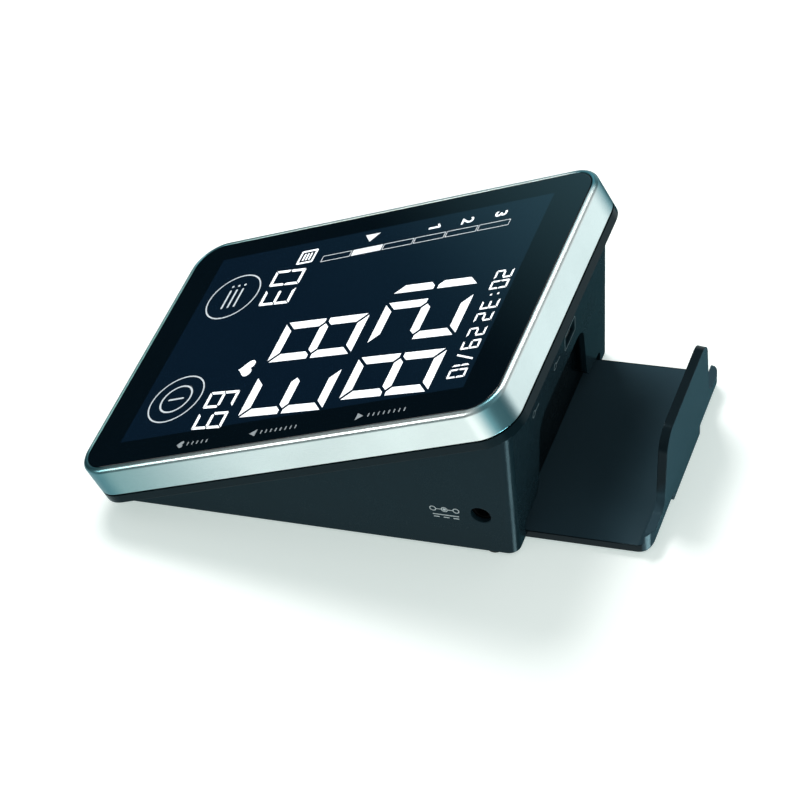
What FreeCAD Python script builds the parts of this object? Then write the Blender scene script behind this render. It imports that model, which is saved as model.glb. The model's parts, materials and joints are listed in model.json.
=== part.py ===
import FreeCAD, Part
import math
import os
import re
import Sketcher

# A desk-top upper-arm blood pressure monitor: a wedge-shaped console whose display plate rises
# towards the rear, with a cuff bracket that pulls out of the foot of its rear wall.
#
# Millimetres, +Z up, +Y to the rear, +X to the user's right.  Every sub-part is drawn in the
# console's own datum, which lies on the desk below the centre of the display window, and its
# placement then brings the middle of the whole footprint to the part's origin.

SIZES = {
    "origin_setback": 18.85,  # from the window's centre back to the part's origin
    # Display plate, measured along its own slope; a depth is measured below the window's face
    "plate_tilt": 19.4,  # degrees
    "window_height": 46.7,  # centre of the window above the desk
    "trim_length": 162.4,
    "trim_width": 110.0,
    "trim_corner": 11.5,
    "trim_wall": 1.9,
    "trim_depth": 10.9,
    "trim_bevel": 0.7,
    "reveal": 0.4,  # shadow gap between the silver trim and the black shell
    "strip_height": 3.0,  # the black strip that shows below the trim
    "shell_wall": 1.5,
    "shell_floor": 1.6,
    "shell_rim_side": 17.0,  # what is left of the shell's floor beside its opening
    "shell_rim_end": 10.2,
    "fit_gap": 0.15,  # between pieces that nest
    "lens_thickness": 1.2,
    "film_thickness": 0.3,
    "film_margin": 3.0,
    "lcd_border_side": 5.95,  # of the lens beside the display cell
    "lcd_border_end": 11.15,
    "lcd_thickness": 2.2,
    "backlight_thickness": 2.6,
    "backlight_inset": 2.6,  # leaves the contact strips room at both long edges
    "strip_width": 1.8,
    "strip_end": 8.0,  # from a strip's end to the cell's
    "holder_wall": 2.0,
    "holder_floor": 1.0,
    "holder_ledge": 4.0,
    "board_thickness": 1.6,
    "board_margin": 2.2,
    "board_screw_inset": 6.15,  # from the lens's end
    "board_screw_side": 12.95,  # from the lens's side
    "board_boss": 5.0,
    "board_screw_head": 4.0,
    "board_screw_head_height": 1.2,
    "board_screw": 2.0,
    "board_screw_length": 5.0,
    "board_screw_hole": 2.3,
    "chip_thickness": 1.4,
    "processor": 14.0,
    "memory_chip": 9.0,
    "chip_pitch": 17.0,
    "chip_row": 34.0,
    # Wedge body
    "body_half_width": 46.5,
    "body_front": 66.0,  # ahead of the window's centre, at desk level
    "body_rear": 68.8,  # behind it, at desk level
    "side_lean": 2.9,  # degrees
    "rear_lean": 7.6,  # degrees
    "body_corner": 3.5,
    "body_wall": 1.8,
    "foot_bevel": 1.2,  # round its lower edge
    "foot_stand": 0.5,  # the feet hold the underside this far off the desk
    "loft_height": 80.0,
    "foot_diameter": 6.4,
    "foot_sink": 0.6,
    "front_foot_x": 39.0,
    "front_foot_y": 59.5,
    "rear_foot_x": 42.6,
    "rear_foot_y": 60.5,
    # Case screws
    "case_boss": 5.4,
    "case_boss_height": 8.0,  # where the two housings' bosses meet, above the desk
    "case_screw": 2.9,
    "case_screw_hole": 3.2,
    "case_screw_length": 9.6,
    "drive_width": 0.8,
    "drive_length": 3.4,
    "case_head": 5.0,
    "case_head_height": 1.0,
    "case_head_sink": 1.2,
    "front_screw_x": 39.5,
    "front_screw_y": 47.0,
    "rear_screw_x": 42.0,
    "rear_screw_y": 36.0,
    # Cuff bracket
    "bracket_travel": 40.5,
    "tray_half_width": 38.3,
    "tray_under": 1.0,  # the tray's underside above the desk
    "tray_thickness": 2.7,
    "tray_grip": 22.0,  # length of tray that stays in the body when it is pulled out
    "tray_corner": 5.0,
    "lip_thickness": 2.8,
    "lip_half_width": 22.4,
    "lip_half_base": 24.2,
    "lip_height": 35.0,
    "lip_corner": 7.0,
    "rim_height": 8.0,
    "flare_radius": 4.5,
    "rim_end_radius": 2.6,
    "bend_radius": 3.4,
    "inner_bend": 2.0,
    "heel_half_width": 14.5,
    "heel_height": 6.0,
    "ear_reach": 1.2,  # the ears that ride in the rails stand this far out of the tray's sides
    "ear_length": 10.0,
    "slide_gap": 0.2,
    "rail_wall": 1.5,
    # Battery bay and door
    "cell_diameter": 14.3,
    "cell_length": 50.2,
    "cell_tip": 1.0,
    "cell_tip_diameter": 5.4,
    "cell_pitch": 14.7,
    "cell_under": 1.9,
    "cell_gap": 0.35,
    "cell_edge": 0.5,
    "bay_front": 59.0,  # inner face of its front wall, ahead of the window's centre
    "bay_rear": 2.0,  # inner face of its rear wall, behind the window's centre
    "bay_half_width": 29.0,
    "bay_wall": 1.3,
    "bay_height": 17.0,  # underside of its flat roof, above the desk
    "bay_depth": 10.7,  # underside of its sloping roof, below the window
    "contact_thickness": 0.5,
    "contact_width": 11.0,
    "contact_height": 11.0,
    "spring_wire": 0.5,
    "spring_coil": 7.0,
    "spring_pitch": 1.3,
    "door_thickness": 1.1,
    "door_gap": 0.25,
    "door_margin": 1.0,
    "hook_width": 7.0,
    "hook_spacing": 18.0,
    "hook_reach": 1.6,
    "hook_thickness": 0.9,
    "latch_width": 14.0,
    "latch_height": 5.0,
    "latch_thickness": 0.9,
    "latch_gap": 0.5,
    "grip_width": 16.0,
    "grip_length": 5.0,
    # Power board, its inlets and what stands on it
    "power_board_under": 11.0,
    "power_board_left": 41.0,
    "power_board_right": 44.0,
    "power_board_front": 43.5,
    "power_board_rear": 64.6,
    "power_post": 5.0,
    "power_post_inset": 3.0,
    "power_screw_length": 4.0,
    "jack_y": 60.2,
    "jack_z": 18.6,
    "jack_hole": 6.6,
    "jack_width": 8.8,
    "jack_length": 13.5,
    "jack_height": 11.0,
    "jack_bore": 5.8,
    "jack_bore_depth": 9.5,
    "jack_pin": 2.0,
    "jack_pin_length": 8.5,
    "usb_x": -9.0,
    "usb_z": 43.5,
    "usb_width": 7.7,
    "usb_height": 3.9,
    "usb_depth": 9.0,
    "usb_wall": 0.4,
    "usb_tongue": 1.3,
    "usb_board_width": 22.0,
    "usb_board_height": 13.0,
    "usb_board_y": 64.2,  # its rear face
    "usb_post_spacing": 16.0,
    "buzzer_diameter": 12.0,
    "buzzer_height": 5.5,
    "buzzer_x": 8.0,
    "buzzer_y": 54.0,
    "buzzer_hole": 2.0,
    "regulator": 5.0,
    "regulator_x": 28.0,
    "ribbon_x": 14.0,
    "ribbon_y": 46.0,
    "ribbon_width": 12.0,
    "ribbon_thickness": 0.5,
    # Pump: the motor and its head lie along X
    "pump_y": 30.0,
    "pump_z": 20.0,
    "motor_diameter": 24.0,
    "motor_length": 27.0,
    "motor_wall": 1.0,
    "motor_shaft": 2.0,
    "motor_shaft_hole": 2.1,
    "magnet_thickness": 1.8,
    "magnet_length": 18.0,
    "magnet_offset": 3.0,
    "magnet_split": 8.0,
    "armature_diameter": 16.6,
    "armature_length": 15.0,
    "commutator_diameter": 6.0,
    "commutator_length": 5.0,
    "shaft_reach": 5.0,
    "end_cap_thickness": 2.0,
    "head_width": 22.0,
    "head_length": 13.0,
    "head_wall": 1.4,
    "head_gap": 0.6,
    "eccentric_diameter": 9.0,
    "eccentric_length": 4.0,
    "eccentric_throw": 1.5,
    "crank_pin": 1.8,
    "crank_pin_length": 3.6,
    "rocker_diameter": 15.0,
    "rocker_thickness": 1.6,
    "rocker_hole": 5.8,
    "diaphragm_thickness": 1.0,
    "stem_diameter": 3.6,
    "stem_circle": 5.2,
    "stem_length": 3.2,
    "cover_length": 6.0,
    "nipple_diameter": 2.6,
    "nipple_length": 2.8,
    "nipple_bore": 1.2,
    "cradle_thickness": 3.0,
    "cradle_half_width": 9.0,
    "strap_width": 8.0,
    "strap_thickness": 0.8,
    "strap_x": 10.0,
    "strap_foot": 4.0,
    # Air path
    "air_x": -30.0,  # the manifold runs along Y at this x
    "air_y": 50.0,  # the cuff socket and the valve share this line
    "manifold_diameter": 6.0,
    "manifold_end": 4.0,
    "snug_gap": 0.05,  # radial gap of a running or a pushed-on fit
    "tube_wall": 1.0,
    "tube_bend": 3.0,
    "tube_root_gap": 0.2,
    "socket_diameter": 9.0,
    "socket_proud": 0.6,
    "socket_bore": 4.8,
    "socket_bore_depth": 8.0,
    "socket_flange": 12.0,
    "socket_flange_thickness": 1.2,
    "sensor_y": 60.0,
    "sensor_size": 7.0,
    "sensor_height": 2.6,
    "sensor_port": 1.8,
    "valve_left": -20.0,
    "valve_length": 16.0,
    "valve_width": 13.0,
    "valve_half_height": 7.4,
    "nozzle_length": 3.5,
    "valve_plate": 1.2,
    "coil_diameter": 11.6,
    "coil_bore": 5.2,
    "plunger_diameter": 4.8,
    "plunger_travel": 0.8,
    "plunger_head": 7.5,
    "valve_spring_length": 3.0,
    "valve_spring_pitch": 1.3,
    "valve_wire": 0.5,
}

document = FreeCAD.newDocument("desk_blood_pressure_monitor")
sheet = document.addObject("Spreadsheet::Sheet", "Sizes")
for row, (alias, size) in enumerate(SIZES.items(), start=1):
    sheet.set(f"A{row}", alias)
    sheet.set(f"B{row}", str(size))
    sheet.setAlias(f"B{row}", alias)
document.recompute()

ALIAS = re.compile(r"\b(" + "|".join(SIZES) + r")\b")
START, END, CENTRE = range(1, 4)  # the named points of a line or an arc in a sketch
LEFT, RIGHT = "left", "right"  # the side on which an arc's centre lies as its outline is walked
BEYOND = "200"  # long enough to pass right through any piece


def in_sheet(formula):
    """The formula as the document reads it, with every size looked up in the sheet."""
    return ALIAS.sub(r"Sizes.\1", str(formula))


def value(formula):
    """What the formula comes to, in millimetres or degrees."""
    answer = sheet.evalExpression(in_sheet(formula))
    return float(getattr(answer, "Value", answer))


def bind(thing, path, formula):
    thing.setExpression(path, in_sheet(formula))


def cosine(angle):
    return f"cos({angle} * 1deg)"


def sine(angle):
    return f"sin({angle} * 1deg)"


def tangent(angle):
    return f"tan({angle} * 1deg)"


def locate(sketch, element, point, x, y):
    """Ties one point of a sketch to its place."""
    for kind, formula in (("DistanceX", x), ("DistanceY", y)):
        constraint = Sketcher.Constraint(kind, element, point, value(formula))
        bind(sketch, f"Constraints[{sketch.addConstraint(constraint)}]", formula)


def round_between(here, there, radius, side):
    """The shorter arc of a given radius between two points, and which of its ends comes first."""
    half = (there - here) * 0.5
    across = FreeCAD.Vector(-half.y, half.x, 0).normalize()
    if side == RIGHT:
        across = -across
    centre = here + half + across * math.sqrt(max(radius**2 - half.Length**2, 0))
    angles = [math.atan2(p.y - centre.y, p.x - centre.x) for p in (here, there)]
    ends = (START, END)
    if side == RIGHT:
        angles.reverse()
        ends = (END, START)
    return Part.ArcOfCircle(Part.Circle(centre, FreeCAD.Vector(0, 0, 1), radius), *angles), ends


def outline(sketch, junctions):
    """Draws one closed outline.

    A junction is (x, y) where a straight side starts, or (x, y, radius, side) where an arc
    starts, with its centre on that side.
    """
    first = sketch.GeometryCount
    places = [FreeCAD.Vector(value(j[0]), value(j[1]), 0) for j in junctions]
    ends = []
    for here, there, junction in zip(places, places[1:] + places[:1], junctions):
        if len(junction) == 2:
            sketch.addGeometry(Part.LineSegment(here, there))
            ends.append((START, END))
            continue
        arc, arc_ends = round_between(here, there, value(junction[2]), junction[3])
        sketch.addGeometry(arc)
        ends.append(arc_ends)
    for i, junction in enumerate(junctions):
        before = i - 1 if i else len(junctions) - 1
        joint = (first + before, ends[before][1], first + i, ends[i][0])
        sketch.addConstraint(Sketcher.Constraint("Coincident", *joint))
        locate(sketch, first + i, ends[i][0], junction[0], junction[1])
        if len(junction) > 2:
            radius = Sketcher.Constraint("Radius", first + i, value(junction[2]))
            bind(sketch, f"Constraints[{sketch.addConstraint(radius)}]", junction[2])


def rectangle(sketch, width, length, x="0", y="0", corner=None):
    """A rectangle centred at (x, y), with rounded corners where a radius is given."""
    left, right = f"{x} - ({width}) / 2", f"{x} + ({width}) / 2"
    low, high = f"{y} - ({length}) / 2", f"{y} + ({length}) / 2"
    if corner is None:
        outline(sketch, [(left, low), (right, low), (right, high), (left, high)])
        return
    bend = (corner, LEFT)
    outline(
        sketch,
        [
            (f"{left} + ({corner})", low),
            (f"{right} - ({corner})", low, *bend),
            (right, f"{low} + ({corner})"),
            (right, f"{high} - ({corner})", *bend),
            (f"{right} - ({corner})", high),
            (f"{left} + ({corner})", high, *bend),
            (left, f"{high} - ({corner})"),
            (left, f"{low} + ({corner})", *bend),
        ],
    )


def circle(sketch, diameter, x="0", y="0"):
    centre = FreeCAD.Vector(value(x), value(y), 0)
    element = sketch.addGeometry(Part.Circle(centre, FreeCAD.Vector(0, 0, 1), value(diameter) / 2))
    locate(sketch, element, CENTRE, x, y)
    size = sketch.addConstraint(Sketcher.Constraint("Diameter", element, value(diameter)))
    bind(sketch, f"Constraints[{size}]", diameter)


class Piece:
    """One sub-part: a PartDesign body whose label is the name of its node."""

    made = {}

    def __init__(self, label):
        self.body = document.addObject("PartDesign::Body", label)
        self.body.AllowCompound = True
        self.planes = {f.Role: f for f in self.body.Origin.OriginFeatures}
        bind(self.body, "Placement.Base.y", "-origin_setback")
        Piece.made[label] = self.body

    def sketch(self, plane, offset=("0", "0", "0"), turn=None):
        """A sketch on an origin plane, moved by an offset in the plane's own directions."""
        sketch = self.body.newObject("Sketcher::SketchObject", "Sketch")
        sketch.AttachmentSupport = (self.planes[plane], [""])
        sketch.MapMode = "FlatFace"
        if turn is not None:
            sketch.AttachmentOffset = FreeCAD.Placement(
                FreeCAD.Vector(), FreeCAD.Rotation(FreeCAD.Vector(1, 0, 0), value(turn))
            )
            bind(sketch, "AttachmentOffset.Rotation.Angle", f"({turn}) * 1deg")
        for axis, formula in zip("xyz", offset):
            bind(sketch, f"AttachmentOffset.Base.{axis}", formula)
        return sketch

    def flat(self, z):
        """Looking down: x to the right, y to the rear; pads rise."""
        return self.sketch("XY_Plane", ("0", "0", z))

    def side(self, x):
        """Looking along -X: y to the rear, z up; pads grow along +X."""
        return self.sketch("YZ_Plane", ("0", "0", x))

    def upright(self, y):
        """Looking along +Y: x to the right, z up; pads grow along -Y."""
        return self.sketch("XZ_Plane", ("0", "0", f"-({y})"))

    def sloped(self, depth):
        """Parallel to the display window, at a depth below it; pads rise towards the window."""
        turn = "plate_tilt"
        offset = ("0", f"({depth}) * {sine(turn)}", f"window_height - ({depth}) * {cosine(turn)}")
        return self.sketch("XY_Plane", offset, turn)

    def leaning(self, foot):
        """Parallel to the leaning rear wall, through y = foot at desk level; pads go forward."""
        return self.sketch("XZ_Plane", ("0", "0", f"-({foot})"), "-rear_lean")

    def lying(self):
        """Square to the leaning rear wall; pads rise along it, and y = foot * cos(rear_lean)."""
        return self.sketch("XY_Plane", turn="-rear_lean")

    def feature(self, kind, sketch, length, both=False, back=False):
        feature = self.body.newObject(f"PartDesign::{kind}", kind)
        feature.Profile = sketch
        bind(feature, "Length", length)
        feature.Midplane = both
        feature.Reversed = back
        return feature

    def pad(self, sketch, length, both=False, back=False):
        return self.feature("Pad", sketch, length, both, back)

    def pocket(self, sketch, length, both=False, back=False):
        """Cuts against the sketch's own pad direction, or along it with back."""
        return self.feature("Pocket", sketch, length, both, back)

    def loft(self, kind, low, high):
        feature = self.body.newObject(f"PartDesign::{kind}Loft", kind)
        feature.Profile = low
        feature.Sections = [high]
        feature.Ruled = True

    def turned(self, profile, y, z, x="0"):
        """A solid turned about the line along X through (y, z); the profile is (x, radius)."""
        sketch = self.sketch("XZ_Plane", (x, z, f"-({y})"))
        outline(sketch, profile)
        feature = self.body.newObject("PartDesign::Revolution", "Revolution")
        feature.Profile = sketch
        feature.ReferenceAxis = (sketch, ["H_Axis"])
        feature.Angle = 360

    def coil(self, wire, diameter, pitch, length, x, y, z):
        """A spring wound about the line along X through (y, z), from x on."""
        sketch = self.sketch("XZ_Plane", (x, z, f"-({y})"))
        circle(sketch, wire, "0", f"({diameter} - {wire}) / 2")
        feature = self.body.newObject("PartDesign::AdditiveHelix", "Coil")
        feature.Profile = sketch
        feature.ReferenceAxis = (sketch, ["H_Axis"])
        feature.Mode = "pitch-height-angle"
        bind(feature, "Pitch", pitch)
        bind(feature, "Height", length)

    def swept(self, profile, path):
        """A profile carried along a path."""
        feature = self.body.newObject("PartDesign::AdditivePipe", "Sweep")
        feature.Profile = profile
        feature.Spine = path

    def dress(self, kind, edges, size):
        """Fillets or chamfers the edges that a test picks from the shape so far."""
        document.recompute()
        base = self.body.Tip
        names = [f"Edge{i}" for i, edge in enumerate(base.Shape.Edges, start=1) if edges(edge)]
        feature = self.body.newObject(f"PartDesign::{kind}", kind)
        feature.Base = (base, names)
        bind(feature, "Size" if kind == "Chamfer" else "Radius", size)
        return feature


def circles(sketch, diameter, places):
    for x, y in places:
        circle(sketch, diameter, x, y)


def ring(sketch, diameter, bore, x="0", y="0"):
    circle(sketch, diameter, x, y)
    circle(sketch, bore, x, y)


# ---- Formulas that several pieces share -------------------------------------------------------

LENS_WIDTH = "(trim_width - 2 * trim_wall - 2 * fit_gap)"
LENS_LENGTH = "(trim_length - 2 * trim_wall - 2 * fit_gap)"
LENS_CORNER = "(trim_corner - trim_wall - fit_gap)"
LCD_WIDTH = f"({LENS_WIDTH} - 2 * lcd_border_side)"
LCD_LENGTH = f"({LENS_LENGTH} - 2 * lcd_border_end)"
STRIP_TOP = "(trim_depth + reveal)"
SHELL_UNDER = f"({STRIP_TOP} + strip_height)"
SHELL_FLOOR_TOP = f"({SHELL_UNDER} - shell_floor)"
FILM_UNDER = "(lens_thickness + film_thickness)"
LCD_UNDER = f"({FILM_UNDER} + lcd_thickness)"
LIGHT_UNDER = f"({LCD_UNDER} + backlight_thickness)"
BOARD_TOP = f"({LIGHT_UNDER} + holder_floor)"
BOARD_UNDER = f"({BOARD_TOP} + board_thickness)"
FLOOR_TOP = "(foot_stand + body_wall)"
TRAY_TOP = "(tray_under + tray_thickness)"
CHANNEL_TOP = f"({TRAY_TOP} + slide_gap)"
RAIL_TOP = f"({CHANNEL_TOP} + rail_wall)"
CHANNEL_HALF = "(tray_half_width + slide_gap)"
RAIL_HALF = "(tray_half_width + ear_reach + slide_gap)"
TRAY_REAR = "(body_rear + bracket_travel)"
TRAY_FRONT = "(body_rear - tray_grip)"
CHANNEL_FRONT = f"({TRAY_FRONT} - bracket_travel - 2 * slide_gap)"
EAR_STOP = f"(body_rear + {FLOOR_TOP} * {tangent('rear_lean')} - body_wall)"
CASE_SCREW_TOP = "(foot_stand + case_head_sink + case_screw_length)"
POWER_TOP = "(power_board_under + board_thickness)"
BAY_OUTER_HALF = "(bay_half_width + bay_wall)"


def height_at(y, depth):
    """How high above the desk a depth below the window is, at y."""
    return f"(window_height + ({y}) * {tangent('plate_tilt')} - ({depth}) / {cosine('plate_tilt')})"


def y_at(z, depth):
    """Where a depth below the window reaches the height z."""
    return f"((({z}) - window_height + ({depth}) / {cosine('plate_tilt')}) / {tangent('plate_tilt')})"


def wall_half_width(z, inset="0"):
    """Half the body's width at the height z, less an inset from its outside."""
    return f"(body_half_width + ({z}) * {tangent('side_lean')} - ({inset}))"


def rear_at(z, inset="0"):
    return f"(body_rear + ({z}) * {tangent('rear_lean')} - ({inset}))"


def front_at(z, inset="0"):
    return f"(body_front + ({z}) * {tangent('side_lean')} - ({inset}))"


# ---- Display plate ----------------------------------------------------------------------------


def plate(label, under, thickness, width, length, corner):
    """A flat layer of the display stack, drawn on its underside."""
    piece = Piece(label)
    sketch = piece.sloped(under)
    rectangle(sketch, width, length, corner=corner)
    piece.pad(sketch, thickness)
    return piece


def make_trim_frame():
    piece = plate("trim_frame", "trim_depth", "trim_depth", "trim_width", "trim_length", "trim_corner")
    inside = piece.sloped("0")
    rectangle(
        inside,
        "trim_width - 2 * trim_wall",
        "trim_length - 2 * trim_wall",
        corner="trim_corner - trim_wall",
    )
    piece.pocket(inside, "trim_depth")
    rim = value("trim_length") / 2 - value("trim_wall") / 2
    lean = math.radians(value("plate_tilt"))
    top = value("window_height")

    def outer_top(edge):
        """The window's plane, and outside the middle of the trim's wall."""
        point = edge.valueAt((edge.FirstParameter + edge.LastParameter) / 2)
        across, along = point.x, point.y * math.cos(lean) + (point.z - top) * math.sin(lean)
        depth = (point.z - top) * math.cos(lean) - point.y * math.sin(lean)
        reach_x = value("trim_width") / 2 - value("trim_wall") / 2
        corner = value("trim_corner") - value("trim_wall") / 2
        inner = math.hypot(
            max(abs(across) - reach_x + corner, 0), max(abs(along) - rim + corner, 0)
        )
        return abs(depth) < 0.01 and inner > corner

    piece.dress("Chamfer", outer_top, "trim_bevel")


def make_display_stack():
    plate("cover_lens", "lens_thickness", "lens_thickness", LENS_WIDTH, LENS_LENGTH, LENS_CORNER)
    plate(
        "touch_film",
        FILM_UNDER,
        "film_thickness",
        f"{LENS_WIDTH} - 2 * film_margin",
        f"{LENS_LENGTH} - 2 * film_margin",
        f"{LENS_CORNER} - film_margin",
    )
    plate("lcd_cell", LCD_UNDER, "lcd_thickness", LCD_WIDTH, LCD_LENGTH, "fit_gap")
    plate(
        "backlight_panel",
        LIGHT_UNDER,
        "backlight_thickness",
        f"{LCD_WIDTH} - 2 * backlight_inset",
        f"{LCD_LENGTH} - 2 * fit_gap",
        "fit_gap",
    )


def contact_strip_places(sketch, gap="0"):
    """The two long slots, or strips, beside the backlight."""
    length = f"{LCD_LENGTH} - 2 * strip_end + 2 * ({gap})"
    for side in (-1, 1):
        place = f"{side} * ({LCD_WIDTH} - backlight_inset) / 2"
        rectangle(sketch, f"strip_width + 2 * ({gap})", length, x=place)


def make_lcd_holder():
    piece = plate(
        "lcd_holder",
        BOARD_TOP,
        f"{BOARD_TOP} - {FILM_UNDER}",
        f"{LCD_WIDTH} + 2 * fit_gap + 2 * holder_wall",
        f"{LCD_LENGTH} + 2 * fit_gap + 2 * holder_wall",
        "holder_wall",
    )
    well = piece.sloped(FILM_UNDER)
    rectangle(well, f"{LCD_WIDTH} + 2 * fit_gap", f"{LCD_LENGTH} + 2 * fit_gap")
    piece.pocket(well, f"{LIGHT_UNDER} - {FILM_UNDER}")
    window = piece.sloped(LIGHT_UNDER)
    rectangle(
        window,
        f"{LCD_WIDTH} - 2 * backlight_inset - 2 * holder_ledge",
        f"{LCD_LENGTH} - 2 * holder_ledge",
    )
    contact_strip_places(window, "fit_gap / 2")
    piece.pocket(window, "holder_floor")


def make_contact_strips():
    piece = Piece("contact_strips")
    sketch = piece.sloped(BOARD_TOP)
    contact_strip_places(sketch)
    piece.pad(sketch, f"{BOARD_TOP} - {LCD_UNDER}")


def board_screw_places():
    """Three at the front and three at the rear edge of the main board."""
    pitch, reach = f"({LENS_WIDTH} / 2 - board_screw_side)", f"({LENS_LENGTH} / 2 - board_screw_inset)"
    for end in (-1, 1):
        for place in (-1, 0, 1):
            yield f"{place} * {pitch}", f"{end} * {reach}"


def make_main_board():
    margin = "2 * (shell_wall + board_margin)"
    piece = plate(
        "main_board",
        BOARD_UNDER,
        "board_thickness",
        f"{LENS_WIDTH} - {margin}",
        f"{LENS_LENGTH} - {margin}",
        "board_margin",
    )
    holes = piece.sloped(BOARD_TOP)
    circles(holes, "board_screw_hole", board_screw_places())
    piece.pocket(holes, "board_thickness")


def make_board_chips():
    """The processor, the display driver and the memory, under the main board."""
    piece = Piece("board_chips")
    sketch = piece.sloped(f"{BOARD_UNDER} + chip_thickness")
    rectangle(sketch, "processor", "processor", y="chip_row")
    for side in (-1, 1):
        rectangle(sketch, "memory_chip", "memory_chip", x=f"{side} * chip_pitch", y="chip_row")
    piece.pad(sketch, "chip_thickness")


def make_board_screws():
    piece = Piece("board_screws")
    shafts = piece.sloped(f"{BOARD_TOP} + board_screw_length")
    circles(shafts, "board_screw", board_screw_places())
    piece.pad(shafts, "board_screw_length")
    heads = piece.sloped(BOARD_TOP)
    circles(heads, "board_screw_head", board_screw_places())
    piece.pad(heads, "board_screw_head_height")


# ---- Housings ---------------------------------------------------------------------------------


def case_screw_places():
    for side in (-1, 1):
        yield f"{side} * front_screw_x", "-front_screw_y"
        yield f"{side} * rear_screw_x", "rear_screw_y"


def make_upper_housing():
    """The black shell under the trim: its strip, the wall that carries the lens, and its posts."""
    piece = plate(
        "upper_housing", SHELL_UNDER, "strip_height", "trim_width", "trim_length", "trim_corner"
    )
    wall = piece.sloped(SHELL_UNDER)
    rectangle(wall, LENS_WIDTH, LENS_LENGTH, corner=LENS_CORNER)
    piece.pad(wall, f"{SHELL_UNDER} - lens_thickness")
    inside = piece.sloped("lens_thickness")
    rectangle(
        inside,
        f"{LENS_WIDTH} - 2 * shell_wall",
        f"{LENS_LENGTH} - 2 * shell_wall",
        corner=f"{LENS_CORNER} - shell_wall",
    )
    piece.pocket(inside, f"{SHELL_FLOOR_TOP} - lens_thickness")
    opening = piece.sloped(SHELL_FLOOR_TOP)
    rectangle(
        opening,
        f"{LENS_WIDTH} - 2 * shell_rim_side",
        f"{LENS_LENGTH} - 2 * shell_rim_end",
        corner="shell_floor",
    )
    piece.pocket(opening, "shell_floor")
    bosses = piece.sloped(f"{SHELL_UNDER} - shell_floor / 2")
    circles(bosses, "board_boss", board_screw_places())
    piece.pad(bosses, f"{SHELL_UNDER} - shell_floor / 2 - {BOARD_UNDER}")
    for x, y in case_screw_places():
        post = piece.flat("case_boss_height")
        circle(post, "case_boss", x, y)
        top = height_at(y, f"{SHELL_UNDER} - shell_floor / 2")
        piece.pad(post, f"{top} - case_boss_height")
    threads = piece.flat("case_boss_height")
    circles(threads, "case_screw + 2 * snug_gap", case_screw_places())
    piece.pocket(threads, f"{CASE_SCREW_TOP} + fit_gap - case_boss_height", back=True)
    screw_holes = piece.sloped(BOARD_UNDER)
    circles(screw_holes, "board_screw_hole", board_screw_places())
    piece.pocket(screw_holes, "board_screw_length")


def footprint(piece, z, inset="0"):
    """The body's outline at the height z, drawn an inset inside its outer faces."""
    sketch = piece.flat(z)
    front, rear = front_at(z, inset), rear_at(z, inset)
    rectangle(
        sketch,
        f"2 * {wall_half_width(z, inset)}",
        f"{rear} + {front}",
        y=f"({rear} - {front}) / 2",
        corner=f"body_corner - ({inset})",
    )
    return sketch


def lip_side(grow="0"):
    """The right-hand edge of the cuff lip, walked upwards from its low rim."""
    half, reach = f"lip_half_base + ({grow})", f"tray_half_width + ({grow})"
    top, rim = f"lip_height + ({grow})", f"rim_height + ({grow})"
    half_top = f"lip_half_width + ({grow})"
    return [
        (reach, f"{rim} - rim_end_radius", "rim_end_radius", LEFT),
        (f"{reach} - rim_end_radius", rim),
        (f"{half} + flare_radius", rim, "flare_radius", RIGHT),
        (half, f"{rim} + flare_radius"),
        (half_top, f"{top} - lip_corner", "lip_corner", LEFT),
        (f"{half_top} - lip_corner", top),
    ]


def walked_back(junctions):
    """The mirror image of a line of sides and arcs, walked from its far end to its start."""
    back = []
    for i in reversed(range(len(junctions))):
        # An arc that used to start at the junction before now starts here.
        arc = junctions[i - 1][2:] if i else ()
        back.append((f"-({junctions[i][0]})", junctions[i][1], *arc))
    return back


def bell(sketch, grow, foot):
    """The cuff lip's outline: upright sides that flare into a low rim across the whole tray."""
    right = [(f"tray_half_width + ({grow})", foot), *lip_side(grow)]
    outline(sketch, right + walked_back(right))


def bay_profile(piece, inset):
    """The battery bay seen from the side: a box whose roof slopes down with the display plate."""
    sketch = piece.side("0")
    front, rear = f"-(bay_front + bay_wall - ({inset}))", f"bay_rear + bay_wall - ({inset})"
    roof, slope = f"bay_height + bay_wall - ({inset})", f"bay_depth - bay_wall + ({inset})"
    foot = f"{FLOOR_TOP} - body_wall / 2 - ({inset}) * body_wall / bay_wall"
    outline(
        sketch,
        [
            (front, foot),
            (rear, foot),
            (rear, roof),
            (y_at(roof, slope), roof),
            (front, height_at(front, slope)),
        ],
    )
    return sketch


def make_lower_housing():
    """The wedge: a tapering shell with the rails, the battery bay and its mounting posts."""
    piece = Piece("lower_housing")
    shoulder = "foot_stand + foot_bevel"
    sole = footprint(piece, "foot_stand", "foot_bevel")
    piece.loft("Additive", sole, footprint(piece, shoulder))
    piece.loft("Additive", footprint(piece, shoulder), footprint(piece, "loft_height"))
    piece.loft(
        "Subtractive",
        footprint(piece, FLOOR_TOP, "body_wall"),
        footprint(piece, "loft_height", "body_wall"),
    )
    top = piece.sloped(SHELL_UNDER)
    rectangle(top, BEYOND, BEYOND)
    piece.pocket(top, BEYOND, back=True)
    add_bracket_rails(piece)
    piece.pad(bay_profile(piece, "0"), f"2 * {BAY_OUTER_HALF}", both=True)
    bosses = piece.flat(f"{FLOOR_TOP} - body_wall / 2")
    circles(bosses, "case_boss", case_screw_places())
    piece.pad(bosses, f"case_boss_height - {FLOOR_TOP} + body_wall / 2")
    add_board_posts(piece)
    add_pump_cradle(piece)
    cut_bracket_channel(piece)
    cut_battery_bay(piece)
    cut_screws_and_feet(piece)
    cut_wall_openings(piece)


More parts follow.
